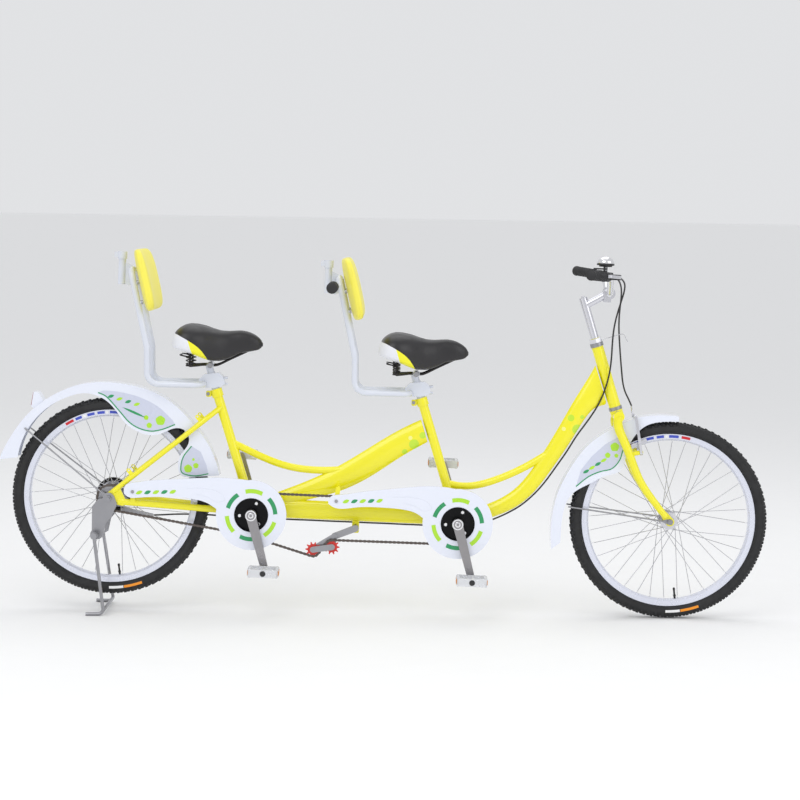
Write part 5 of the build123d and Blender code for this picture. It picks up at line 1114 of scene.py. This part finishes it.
@dataclass
class Graphics:
    """Printed and moulded marks of the guards and fenders."""

    guard_face: float = -77.5
    fender_face: float = 30.0
    film: float = 0.35

    def build(self) -> None:
        """Make and dress every mark."""
        self.guard("rear", REAR_CRANK, 0.0)
        self.guard("front", FRONT_CRANK, CRANK_SPACING)
        self.rear_fender()
        self.front_fender()

    def disc(self, centre: Point2, radius: float, wobble: float = 0.0) -> list[Point2]:
        """Outline of a printed disc.

        Args:
            centre: Centre in the side view.
            radius: Mean radius.
            wobble: Share by which a leafy edge swells.

        Returns:
            The outline.
        """
        return [
            (centre[0] + radius * (1 + wobble * math.sin(5 * math.radians(a))) * math.cos(math.radians(a)),
             centre[1] + radius * (1 + wobble * math.sin(5 * math.radians(a))) * math.sin(math.radians(a)))
            for a in range(0, 360, 12)
        ]

    def leaf(self, foot: Point2, tip: Point2, width: float) -> list[Point2]:
        """Outline of a pointed leaf from its foot to its tip."""
        run = Vector((tip[0] - foot[0], tip[1] - foot[1]))
        side = Vector((-run.y, run.x)).normalized()
        line: list[Point2] = []
        for sign in (1, -1):
            for step in range(0, 10):
                t = step / 10 if sign > 0 else 1 - step / 10
                spot = Vector(foot) + run * t + side * (sign * width / 2 * math.sin(math.pi * t) ** 0.8)
                line.append((spot.x, spot.y))
        return line

    def ribbon(self, points: Sequence[Point2], width: float) -> list[Point2]:
        """Outline of a line of even width through side-view points."""
        line = smooth_path([(x, z, 0.0) for x, z in points], 6)
        left, right = [], []
        for index, spot in enumerate(line):
            before, after = line[max(index - 1, 0)], line[min(index + 1, len(line) - 1)]
            run = Vector((after[0] - before[0], after[1] - before[1])).normalized()
            left.append((spot[0] - run.y * width / 2, spot[1] + run.x * width / 2))
            right.append((spot[0] + run.y * width / 2, spot[1] - run.x * width / 2))
        return left + right[::-1]

    def guard(self, prefix: str, crank: Point2, shift: float) -> None:
        """Ring of six segments, a row of leaves and a raised contour on one chain guard.

        Args:
            prefix: Rear or front.
            crank: Crank axle in the side view.
            shift: How far ahead of the rear guard this guard's arm lies.
        """
        shape = Shape(f"{prefix}_guard_marks")
        near, far = self.guard_face + 0.05, self.guard_face - self.film
        for index in range(6):
            middle = 25 + 60 * index
            finish = LEAF_GREEN if index % 2 == 0 else LIME
            inner = [(crank[0] + 66 * math.cos(math.radians(a)), crank[1] + 66 * math.sin(math.radians(a)))
                     for a in range(middle - 21, middle + 22, 3)]
            outer = [(crank[0] + 78.5 * math.cos(math.radians(a)), crank[1] + 78.5 * math.sin(math.radians(a)))
                     for a in range(middle - 20, middle + 21, 4)]
            shape.prism(finish, inner + outer[::-1], near, far)
        for index in range(5):
            x = shift + 92 + 25 * index
            z = 22 + 1.6 * index
            finish = LEAF_GREEN if index % 2 else LIME
            shape.prism(finish, self.leaf((x - 10, z - 4), (x + 10, z + 5), 10.5), near, far)
        contour = [(shift + 232, 42), (shift + 290, 44), (shift + 330, 34), (shift + 348, 14), (shift + 326, 4),
                   (shift + 296, 18), (shift + 262, 26)]
        shape.tube(SHELL_WHITE, smooth_path([(x, self.guard_face, z) for x, z in contour], 6), 0.9, 8)
        shape.lathe(SHELL_WHITE, [(-0.8, 52.2), (0.0, 51.6), (0.7, 52.4), (0.7, 54.2), (-0.3, 55.2), (-0.8, 54.5)],
                    place(crank[0], self.guard_face, crank[1]), Vector((0, -1, 0)), 96)
        shape.build("frame", "guard_white")

    def both_sides(self, shape: Shape, finish: Finish, outline: Sequence[Point2], lift: float = 1.0) -> None:
        """Lay one film on both flanks of a fender."""
        for side in (1, -1):
            shape.prism(finish, outline, side * (self.fender_face - 0.05), side * (self.fender_face + self.film * lift))

    def rear_fender(self) -> None:
        """Inset panels, pin lines, leaves and the tail lens."""
        shape = Shape("rear_fender_marks")
        line = ((-46, 312), (-20, 300), (17, 262), (49, 228), (80, 210), (116, 203), (150, 210), (187, 226))
        crown = ((180, 238), (135, 277), (76, 304), (14, 317), (-30, 319))
        panel = [(x, z) for x, z, _ in smooth_path([(x, z, 0) for x, z in line], 4)]
        self.both_sides(shape, INSET_GREY, panel + [(x, z) for x, z, _ in smooth_path([(x, z, 0) for x, z in crown], 4)])
        self.both_sides(shape, LEAF_GREEN, self.ribbon(line, 3.4), 2.0)
        for centre, radius in (((143, 236), 14), ((110, 220), 8), ((100, 243), 7)):
            self.both_sides(shape, LIME, self.disc(centre, radius, 0.05), 2.0)
        self.both_sides(shape, LEAF_GREEN, self.leaf((28, 271), (98, 243), 7), 2.0)
        for index in range(4):
            x, z = -8 + 26 * index, 302 - 7 * index
            self.both_sides(shape, LIME if index % 2 else LEAF_GREEN, self.leaf((x - 9, z - 3), (x + 10, z + 4), 9), 2.0)
        low = ((239, 163), (216, 131), (209, 99), (216, 80), (252, 74), (292, 82))
        back = ((286, 107), (267, 147))
        panel = [(x, z) for x, z, _ in smooth_path([(x, z, 0) for x, z in low], 4)]
        self.both_sides(shape, INSET_GREY, panel + list(back))
        self.both_sides(shape, LEAF_GREEN, self.ribbon(low, 3.2), 2.0)
        for centre, radius in (((231, 95), 12), ((254, 105), 8), ((246, 123), 4)):
            self.both_sides(shape, LIME, self.disc(centre, radius, 0.05), 2.0)
        shape.build("frame", "guard_white")
        lens = Shape("tail_lens")
        lens.prism(RED_LENS, [(-247.5, 264), (-241.5, 303), (-238.5, 303), (-244.5, 264)], -22, 22)
        lens.build("frame", "red_plastic")

    def front_fender(self) -> None:
        """Inset panel, pin line and leaves of the front fender."""
        shape = Shape("front_fender_marks")
        line = ((1543, 240), (1531, 208), (1522, 176), (1500, 150), (1466, 140), (1430, 122), (1396, 92))
        crown = ((1408, 142), (1438, 184), (1476, 222), (1514, 246))
        panel = [(x, z) for x, z, _ in smooth_path([(x, z, 0) for x, z in line], 4)]
        self.both_sides(shape, INSET_GREY, panel + list(crown))
        self.both_sides(shape, LEAF_GREEN, self.ribbon(line, 3.2), 2.0)
        for centre, radius in (((1506, 216), 13), ((1486, 190), 8), ((1512, 190), 6)):
            self.both_sides(shape, LIME, self.disc(centre, radius, 0.05), 2.0)
        for index in range(4):
            x, z = 1424 + 17 * index, 138 + 12 * index
            self.both_sides(shape, LIME if index % 2 else LEAF_GREEN, self.leaf((x - 9, z - 5), (x + 9, z + 6), 9), 2.0)
        shape.build("steering", "guard_white")


# ---------------------------------------------------------------- seats


@dataclass
class Seat:
    """Saddle, springs and backrest pad of one place."""

    prefix: str
    shift: float
    shop: Workshop
    pad_foot: Point2 = (87.5, 560.0)
    pad_tilt: Point2 = (-0.25, 0.968)
    pad_height: float = 186.0
    pad_half_width: float = 138.5
    stations: int = 72
    sides: int = 64

    def build(self) -> None:
        """Make and dress the pieces of the seat."""
        self.saddle()
        self.springs()
        self.pad()

    @staticmethod
    def lookup(table: Sequence[Point2], x: float) -> float:
        """Smooth value of a table at x."""
        for (x0, v0), (x1, v1) in zip(table, table[1:]):
            if x <= x1:
                t = min(max((x - x0) / (x1 - x0), 0.0), 1.0)
                return v0 + (v1 - v0) * t
        return table[-1][1]

    def saddle(self) -> None:
        """Padded saddle as one crowned skin, wide behind and narrow at the nose."""
        top = ((169, 478), (173, 494), (180, 507), (190, 517), (203, 525), (220, 529.5), (240, 529), (265, 525),
               (290, 517.5), (312, 512.5), (335, 511.5), (355, 513.5), (373, 515), (390, 513), (404, 509),
               (418, 502), (430, 493), (437, 484), (439, 476))
        low = ((169, 470), (173, 459), (191, 450.5), (215, 445), (237, 439), (262, 428.5), (285, 421.5), (312, 421),
               (330, 425), (346, 431), (360, 439), (372, 446), (403, 453), (425, 458), (434, 464), (439, 472))
        plan = ((169, 12), (170.5, 44), (174, 66), (180, 82), (188, 93), (200, 100.5), (215, 102.8), (232, 101),
                (250, 95), (268, 84.5), (286, 71), (304, 57.5), (322, 47.5), (340, 40), (360, 34.5), (380, 31),
                (400, 27.5), (415, 23), (427, 18), (435, 11), (439, 4))
        shape = Shape(f"{self.prefix}_saddle_cover")
        rings = []
        for station in range(self.stations + 1):
            t = station / self.stations
            x = 169.3 + (439 - 169.3) * (0.5 - 0.5 * math.cos(math.pi * t))
            half = sum(self.lookup(plan, x + d) for d in (-3, 0, 3)) / 3
            high = sum(self.lookup(top, x + d) for d in (-3, 0, 3)) / 3
            deep = sum(self.lookup(low, x + d) for d in (-3, 0, 3)) / 3
            ring = []
            for side in range(self.sides):
                angle = 2 * math.pi * side / self.sides
                c, s = math.cos(angle), math.sin(angle)
                across = math.copysign(abs(c) ** 0.62, c) * half
                middle = deep + (high - deep) * 0.34
                if s >= 0:
                    rise = middle + (high - middle) * abs(s) ** 0.78
                    rise -= 4.5 * math.exp(-(across / 9) ** 2) * max(0.0, 1 - abs(x - 250) / 80)
                else:
                    rise = middle - (middle - deep) * abs(s) ** 0.3
                ring.append(place(x + self.shift, across * (1 - 0.08 * max(0.0, -s)), rise))
            rings.append(ring)
        shape.rings(rings, SEAT_VINYL)
        piece = shape.build(f"{self.prefix}_seat", "vinyl", [f"{self.prefix}_saddle"], 60)
        self.mark_saddle(piece)

    def mark_saddle(self, piece: bpy.types.Object) -> None:
        """Keep the signed distances to the panel line and the wedge line on the mesh."""
        origin, ahead, up = place(self.shift, 0, 0), aim(1, 0, 0), aim(0, 0, 1)
        panel = piece.data.attributes.new("panel_line", "FLOAT", "POINT")
        wedge = piece.data.attributes.new("wedge_line", "FLOAT", "POINT")
        curve = ((169, 503), (190, 499), (212, 489), (232, 478), (250, 466), (264, 452), (275, 436), (284, 417))
        for index, vertex in enumerate(piece.data.vertices):
            x = (vertex.co - origin).dot(ahead) / MM
            z = (vertex.co - origin).dot(up) / MM
            panel.data[index].value = (self.lookup(curve, x) - z) * MM * 0.8 if x < 284 else -0.01
            wedge.data[index].value = (x - (221 + (486 - z) * 0.33)) * MM
        piece.data.update()

    def springs(self) -> None:
        """Coil springs, wire rails, cross bar, end cups and the clamp."""
        shape = Shape(f"{self.prefix}_saddle_springs")
        for side in (1, -1):
            foot = place(226 + self.shift, side * 44, 406)
            shape.absorb(self.shop.coil.run({
                "Turns": 4.0, "Coil Radius": 0.0105, "Height": 0.04, "Wire Radius": 0.0018,
                "Centre": tuple(foot), "Material": BLACK_STEEL.material(),
            }), BLACK_STEEL)
            shape.solid(BLACK_STEEL, [(-2.5, 6), (-2.5, 12), (0, 12.6), (1.5, 12), (2, 5)], foot, aim(0, 0, 1), 20)
            shape.solid(BLACK_STEEL, [(38, 5), (39, 12), (41, 12.6), (45, 12.6)], foot, aim(0, 0, 1), 20)
            shape.solid(BLACK_STEEL, [(-4, 3), (42, 3)], foot, aim(0, 0, 1), 12)
            route = [(226, side * 44, 404), (246, side * 33, 406), (267, side * 22, 408.5), (285, side * 21, 408.5),
                     (307, side * 21, 409.5), (345, side * 17, 429), (398, side * 10, 456)]
            shape.tube(BLACK_STEEL, smooth_path([(x + self.shift, y, z) for x, y, z in route], 6), 3.4, 12)
            loop = [(226, side * 44, 431), (208, side * 49, 434), (196, side * 40, 436), (199, side * 20, 437),
                    (199, 0, 437)]
            shape.tube(BLACK_STEEL, smooth_path([(x + self.shift, y, z) for x, y, z in loop], 6), 2.2, 10)
            shape.solid(ZINC, [(0, 9.5), (5, 9.5), (6.5, 8), (6.5, 4)],
                        place(285 + self.shift, side * 27, 408.5), Vector((0, side, 0)), 6)
        shape.build(f"{self.prefix}_seat", "black_steel")

    def pad(self) -> None:
        """Crowned backrest pad that wraps forwards at both ends."""
        shape = Shape(f"{self.prefix}_backrest_cushion")
        up = Vector((self.pad_tilt[0], 0, self.pad_tilt[1])).normalized()
        out = Vector((up.z, 0, -up.x))
        foot = Vector((self.pad_foot[0] + self.shift, 0, self.pad_foot[1]))
        half_height = self.pad_height / 2
        rows, columns = 40, 72

        def spot(across: float, rise: float, depth: float) -> Vector:
            """Point of the pad from its half widths."""
            level = foot + up * (half_height + rise) + out * depth
            return place(level.x, across, level.z)

        rings = []
        for row in range(rows + 1):
            polar = math.pi * row / rows
            c = math.cos(polar)
            rise = math.copysign(abs(c) ** 0.5, c) * half_height
            girth = max(math.sin(polar), 0.02) ** 0.42
            ring = []
            for column in range(columns):
                angle = 2 * math.pi * column / columns
                a, b = math.cos(angle), math.sin(angle)
                across = math.copysign(abs(a) ** 0.52, a) * self.pad_half_width * girth ** 0.55
                wrap = 17 * (across / self.pad_half_width) ** 2
                lean = 1 - 0.3 * max(0.0, rise / half_height) ** 2
                front = 19.5 * girth * lean * abs(b) ** 0.75 + 17 if b >= 0 else 17 - 15.0 * girth * abs(b) ** 0.3
                ring.append(spot(across, rise, wrap * 0.98 + front * 0.98))
            rings.append(ring)
        shape.rings(rings, PAD_VINYL)
        shape.tube(PAD_VINYL, self.piping(foot, up, out, half_height), 1.5, 8)
        piece = shape.build(f"{self.prefix}_seat", "yellow_vinyl", [f"{self.prefix}_backrest_pad"], 70)
        back = Shape(f"{self.prefix}_backrest_bolts")
        for side in (1, -1):
            for rise in (30, 90):
                level = foot + up * rise + out * 2.0
                back.solid(ZINC, [(-3.5, 3.2), (-3.5, 6.0), (-0.5, 6.4), (1.5, 6.0)],
                           place(level.x, side * 70, level.z), aim(out.x, 0, out.z), 16)
        back.build(f"{self.prefix}_seat", "zinc_steel")

    def piping(self, foot: Vector, up: Vector, out: Vector, half_height: float) -> list[Point3]:
        """Closed line of the sewn edge round the pad.

        Args:
            foot: Lower edge of the pad's back.
            up: Direction up the pad.
            out: Direction out of its front.
            half_height: Half of the pad's height.

        Returns:
            Workshop points of the seam.
        """
        line: list[Point3] = []
        for step in range(97):
            angle = 2 * math.pi * step / 96
            a, b = math.cos(angle), math.sin(angle)
            across = math.copysign(abs(a) ** 0.32, a) * (self.pad_half_width - 1.2)
            rise = math.copysign(abs(b) ** 0.36, b) * (half_height - 0.8)
            level = foot + up * (half_height + rise) + out * (16.5 + 17 * (across / self.pad_half_width) ** 2)
            line.append((level.x, across, level.z))
        return line


@dataclass
class StokerBar:
    """Fixed handlebar behind the front saddle, with its two grips."""

    x: float = 30.0 + CRANK_SPACING
    z: float = 662.0
    half_width: float = 270.0

    def build(self) -> None:
        """Make and dress the bar and its grips."""
        shape = Shape("stoker_bar")
        across = Vector((0, 1, 0))
        shape.solid(TUBE_WHITE, [(-268, 10.6), (-97, 10.8), (-90, 9), (90, 9), (97, 10.8), (268, 10.6)],
                    place(self.x, 0, self.z), across, 32)
        for side in (1, -1):
            ribbed_grip(shape, place(self.x, side * (self.half_width - 115), self.z), Vector((0, side, 0)), 116, 16.6)
        shape.build("front_seat", "grip_rubber", ["stoker_handlebar"])


def ribbed_grip(shape: Shape, start: Vector, along: Vector, length: float, radius: float) -> None:
    """Turn one rubber grip with a collar, ribs and a domed end.

    Args:
        shape: Shape that takes the grip.
        start: Inner end of the grip.
        along: Direction to its outer end.
        length: Length in millimetres.
        radius: Largest radius in millimetres.
    """
    profile: list[Point2] = [(0, radius * 0.72), (0.5, radius), (4.0, radius), (4.8, radius - 2.2)]
    spot = 8.0
    while spot < length - 12:
        profile += [(spot, radius - 2.0), (spot + 0.7, radius - 0.9), (spot + 2.0, radius - 0.9), (spot + 2.7, radius - 2.0)]
        spot += 4.4
    profile += [(length - 8, radius - 1.8), (length - 6, radius - 0.2), (length - 2.5, radius - 0.2),
                (length - 0.6, radius * 0.8), (length, radius * 0.45)]
    shape.solid(GRIP, profile, start, along, 32)


# ---------------------------------------------------------------- cockpit


@dataclass
class Cockpit:
    """Grips, bell, brake cables and the wire guide at the head."""

    rise: Point3 = (1462.0, 92.0, 724.0)
    end: Point3 = (1389.0, 270.0, 731.0)
    grip_length: float = 125.0

    def build(self) -> None:
        """Make and dress the pieces of the cockpit."""
        self.grips()
        self.bell()
        self.wire_guide()
        self.cables()

    def bar_point(self, side: int, along: float, ahead: float) -> Vector:
        """Workshop point beside one end of the bar.

        Args:
            side: Minus one for the right, one for the left.
            along: Distance outwards from the bend.
            ahead: Distance in front of the bar.

        Returns:
            The point in millimetres.
        """
        rise = Vector((self.rise[0], side * self.rise[1], self.rise[2]))
        end = Vector((self.end[0], side * self.end[1], self.end[2]))
        run = (end - rise).normalized()
        front = Vector((run.y * side, -run.x * side, 0)).normalized()
        return rise + run * along + front * ahead

    def grips(self) -> None:
        """Two ribbed grips on the bar's ends."""
        shape = Shape("handlebar_grips")
        for side in (1, -1):
            length = math.dist(self.rise, self.end)
            start = self.bar_point(side, length - self.grip_length + 3, 0)
            along = self.bar_point(side, 10, 0) - self.bar_point(side, 0, 0)
            ribbed_grip(shape, place(*start), aim(*along), self.grip_length, 15.4)
        shape.build("steering", "grip_rubber", ["grips"])

    def bell(self) -> None:
        """Chromed dome on a black base, with its clamp."""
        shape = Shape("bell_dome")
        foot = self.bar_point(-1, 57, 0)
        base = Vector((foot.x, foot.y, foot.z + 36))
        shape.solid(BLACK_PLASTIC, [(-7, 8), (-7, 18.4), (-6, 19), (-3.4, 19.4), (-2.8, 25), (-2, 25.8), (1.6, 25.8),
                                    (2.4, 25), (2.6, 10)], place(*base), aim(0, 0, 1), 48)
        shape.solid(CHROME, [(2.7, 23.5), (3.2, 24.6), (6, 24.9), (10, 23.6), (14, 21.2), (18, 17.2), (21, 12.4),
                             (23, 7.4), (23.8, 3.6), (24.6, 3.4), (24.8, 0.4)], place(*base), aim(0, 0, 1), 48)
        shape.solid(BLACK_PLASTIC, [(0, 7.2), (6, 6.2), (30, 6.0)], place(*foot), aim(0, 0, 1), 20)
        along = self.bar_point(-1, 10, 0) - self.bar_point(-1, 0, 0)
        shape.lathe(BLACK_PLASTIC, [(-6, 11.1), (-6, 13.2), (-5, 14.2), (5, 14.2), (6, 13.2), (6, 11.1)], place(*foot),
                    aim(*along), 32)
        pivot = (base.x, base.y - 14, base.z - 19)
        shape.solid(ZINC, [(0, 1.2), (0.5, 2.4), (13, 2.4)], place(*pivot), aim(0, 0, 1), 12)
        shape.build("steering", "bright_steel", ["bell"])

    def wire_guide(self) -> None:
        """Bent wire that holds the cables off the head tube."""
        shape = Shape("cable_wire_guide")
        route = [(1454, -8, 536), (1472, -10, 541), (1500, -10, 551), (1514, -10, 554), (1521, -10, 550),
                 (1526, -10, 540), (1531, -10, 532)]
        shape.tube(SPOKE_STEEL, smooth_path(route, 5), 1.3, 8)
        shape.build("steering", "bright_steel")

    def cables(self) -> None:
        """Both brake cables as smooth lines, and the straddle wire of the rim brake."""
        front = [tuple(self.bar_point(1, 16, 33)), (1502, 88, 716), (1510, 60, 694), (1509, 36, 660), (1504, 20, 618),
                 (1503, 9, 575), (1507, 3, 530), (1512, 1, 485), (1518, 5, 443), (1524, 14, 406), (1534, 30, 378),
                 (1547, 47, 357), (1558.6, 61.5, 335.5)]
        rear = [tuple(self.bar_point(-1, 16, 33)), (1504, -88, 714), (1509, -62, 690), (1502, -42, 654),
                (1492, -31, 612), (1485, -27, 570), (1483, -26, 526), (1483, -27, 480), (1479, -27.5, 432),
                (1469, -26, 388), (1457, -17, 352), (1443, -4, 320), (1419, 0, 281), (1392, 0.5, 242), (1365, 0, 192),
                (1334, 0, 144), (1308, 0, 103), (1279, 1, 65), (1236, 1, 23), (1190, 2, -5), (1155, 3, -22),
                (1120, 3.5, -36), (1082, 5, -49), (1042, 7, -55.5), (990, 9, -51)]
        rear += [(935 - 55 * index, 9 + 1.6 * (-1) ** index, -50.2) for index in range(9)]
        rear += [(452, 10, -53), (414, 16, -57), (372, 24, -54), (322, 33, -51), (272, 41, -51), (226, 48, -53),
                 (184, 54, -56), (152, 58, -60), (124.6, 60, -62)]
        straddle = Shape("straddle_wire")
        straddle.tube(SPOKE_STEEL, [(1563, y, 310) for y in (-35.6, 0, 35.6)], 0.9, 8)
        straddle.build("steering", "bright_steel")
        front_piece = self.cord("front_brake_cord", front)
        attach(front_piece, "steering")
        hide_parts("front_brake_cable")
        self.rear_cable(rear)

    def cord(self, name: str, points: Sequence[Point3]) -> bpy.types.Object:
        """One smooth cable whose control points are given.

        Args:
            name: Name of the piece.
            points: Workshop control points.

        Returns:
            The curve piece.
        """
        curve = bpy.data.curves.new(name, "CURVE")
        curve.dimensions = "3D"
        spline = curve.splines.new("NURBS")
        spline.points.add(len(points) - 1)
        for control, point in zip(spline.points, points):
            control.co = (*place(*point), 1.0)
        spline.order_u = 3
        spline.use_endpoint_u = True
        spline.resolution_u = 8
        curve.bevel_depth = 2.5 * MM
        curve.bevel_resolution = 4
        curve.use_fill_caps = True
        curve.materials.append(CABLE.material())
        piece = bpy.data.objects.new(name, curve)
        bpy.context.scene.collection.objects.link(piece)
        return piece

    def rear_cable(self, points: Sequence[Point3]) -> None:
        """Long cable from the bar past the steering that follows the frame below, kept as a plain mesh."""
        cord = self.cord("rear_brake_line", points)
        graph = bpy.context.evaluated_depsgraph_get()
        cord.data.bevel_depth = 0.0
        graph.update()
        line = bpy.data.meshes.new_from_object(cord.evaluated_get(graph))
        bpy.data.meshes.remove(line)
        cord.data.bevel_depth = 2.5 * MM
        graph.update()
        mesh = bpy.data.meshes.new_from_object(cord.evaluated_get(graph))
        bpy.data.objects.remove(cord)
        piece = bpy.data.objects.new("rear_brake_cord", mesh)
        bpy.context.scene.collection.objects.link(piece)
        mesh.shade_smooth()
        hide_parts("rear_brake_cable")
        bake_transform(piece)


# ---------------------------------------------------------------- carried-over nodes, stage and camera


class CadDress:
    """Finishes of the CAD nodes that stay visible."""

    WEAR: dict[str, Finish] = {
        "head_tube": ENAMEL, "down_tube": ENAMEL, "main_tube": ENAMEL, "bottom_tube": ENAMEL, "seat_tubes": ENAMEL,
        "step_tubes": ENAMEL, "rear_stays": ENAMEL, "fork": ENAMEL, "frame_hardware": ZINC,
        "rear_fender": SHELL_WHITE, "front_fender": SHELL_WHITE, "front_chain_guard": SHELL_WHITE,
        "rear_chain_guard": SHELL_WHITE, "rear_axle_fittings": ZINC, "kickstand_bracket": ZINC,
        "band_brake": BLACK_STEEL, "tensioner_body": ZINC, "stem": ALLOY, "handlebar": CHROME,
        "lever_mounts": BLACK_PLASTIC, "front_axle_fittings": ZINC, "front_rim": RIM_ALLOY, "rear_rim": RIM_ALLOY,
        "front_spokes": SPOKE_STEEL, "rear_spokes": SPOKE_STEEL, "front_hub": ALLOY, "rear_hub": ALLOY,
        "rear_crankset": CRANK, "front_crankset": CRANK, "freewheel": ZINC, "tensioner_cage": ZINC,
        "guide_pulley": RED_PLASTIC, "tension_pulley": RED_PLASTIC, "kickstand_legs": ZINC,
        "right_brake_lever": ALLOY, "left_brake_lever": ALLOY, "right_brake_arm": ALLOY, "left_brake_arm": ALLOY,
        "band_brake_arm": ZINC, "bell_lever": BLACK_PLASTIC, "front_seatpost": TUBE_WHITE,
        "rear_seatpost": TUBE_WHITE, "front_backrest_frame": TUBE_WHITE, "rear_backrest_frame": TUBE_WHITE,
    }

    def dress(self, nodes: dict[str, bpy.types.Object]) -> None:
        """Give every carried-over node its finish."""
        for name, finish in self.WEAR.items():
            node = nodes[name]
            for index in range(len(node.material_slots)):
                node.material_slots[index].link = "OBJECT"
                node.material_slots[index].material = finish.material()
            if not node.material_slots:
                LOG.warning("%s has no material slot", name)


@dataclass
class Studio:
    """Pale floor, soft lights and the camera."""

    camera_at: Point3 = (0.0435, -6.735, 1.199)
    camera_turn: Point3 = (85.3192, -0.877, 0.07)
    lens: float = 101.2

    def build(self) -> None:
        """Make the floor, lights and camera."""
        self.floor()
        self.light("key_light", (-1.6, -3.6, 3.8), (0.1, 0.0, 0.4), 3.4, 62)
        self.light("fill_light", (3.4, -2.6, 2.4), (0.0, 0.0, 0.5), 3.0, 30)
        self.light("top_light", (0.2, 1.4, 4.4), (0.0, 0.0, 0.4), 3.6, 34)
        world = bpy.data.worlds.new("studio_air")
        world.use_nodes = True
        world.node_tree.nodes["Background"].inputs["Color"].default_value = (0.97, 0.98, 1.0, 1.0)
        world.node_tree.nodes["Background"].inputs["Strength"].default_value = 0.78
        bpy.context.scene.world = world
        bpy.context.scene.view_settings.view_transform = "Standard"
        data = bpy.data.cameras.new("camera")
        data.lens, data.sensor_width = self.lens, 36.0
        camera = bpy.data.objects.new("camera", data)
        camera.location = self.camera_at
        camera.rotation_euler = [math.radians(angle) for angle in self.camera_turn]
        bpy.context.scene.collection.objects.link(camera)
        bpy.context.scene.camera = camera

    def floor(self) -> None:
        """Pale floor that the tyres and the stand rest on."""
        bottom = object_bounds()[0][2]
        mesh = bpy.data.meshes.new("floor")
        mesh.from_pydata([(x, y, bottom - 0.0005) for x, y in ((-400, -12), (400, -12), (400, 900), (-400, 900))], [],
                         [(0, 1, 2, 3)])
        finish = Finish("studio_floor", (0.93, 0.93, 0.93), 0.75, Grain.MOULDED, 0.01, 0.02, tone=0.01)
        mesh.materials.append(finish.material())
        floor = bpy.data.objects.new("floor", mesh)
        bpy.context.scene.collection.objects.link(floor)
        floor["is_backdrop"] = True

    def light(self, name: str, spot: Point3, target: Point3, size: float, power: float) -> None:
        """Add one soft area light.

        Args:
            name: Name of the light.
            spot: Where it hangs.
            target: What it faces.
            size: Side of its square face in metres.
            power: Watts.
        """
        data = bpy.data.lights.new(name, "AREA")
        data.size, data.energy = size, power
        lamp = bpy.data.objects.new(name, data)
        lamp.matrix_world = Matrix.Translation(spot) @ (
            (Vector(target) - Vector(spot)).to_track_quat("-Z", "Y").to_matrix().to_4x4())
        bpy.context.scene.collection.objects.link(lamp)


def main() -> None:
    """Build the tandem round its frame."""
    logging.basicConfig(level=logging.INFO, format="%(name)s %(message)s")
    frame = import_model()
    shop = Workshop()
    CadDress().dress(frame["nodes"])
    Studio().build()
    for prefix, axle_x in (("rear", 0.0), ("front", WHEELBASE)):
        Wheel(prefix, axle_x, shop).build()
    Drive(shop).build()
    Graphics().build()
    for prefix, shift in (("rear", 0.0), ("front", CRANK_SPACING)):
        Seat(prefix, shift, shop).build()
    StokerBar().build()
    Cockpit().build()


if __name__ == "__main__":
    main()
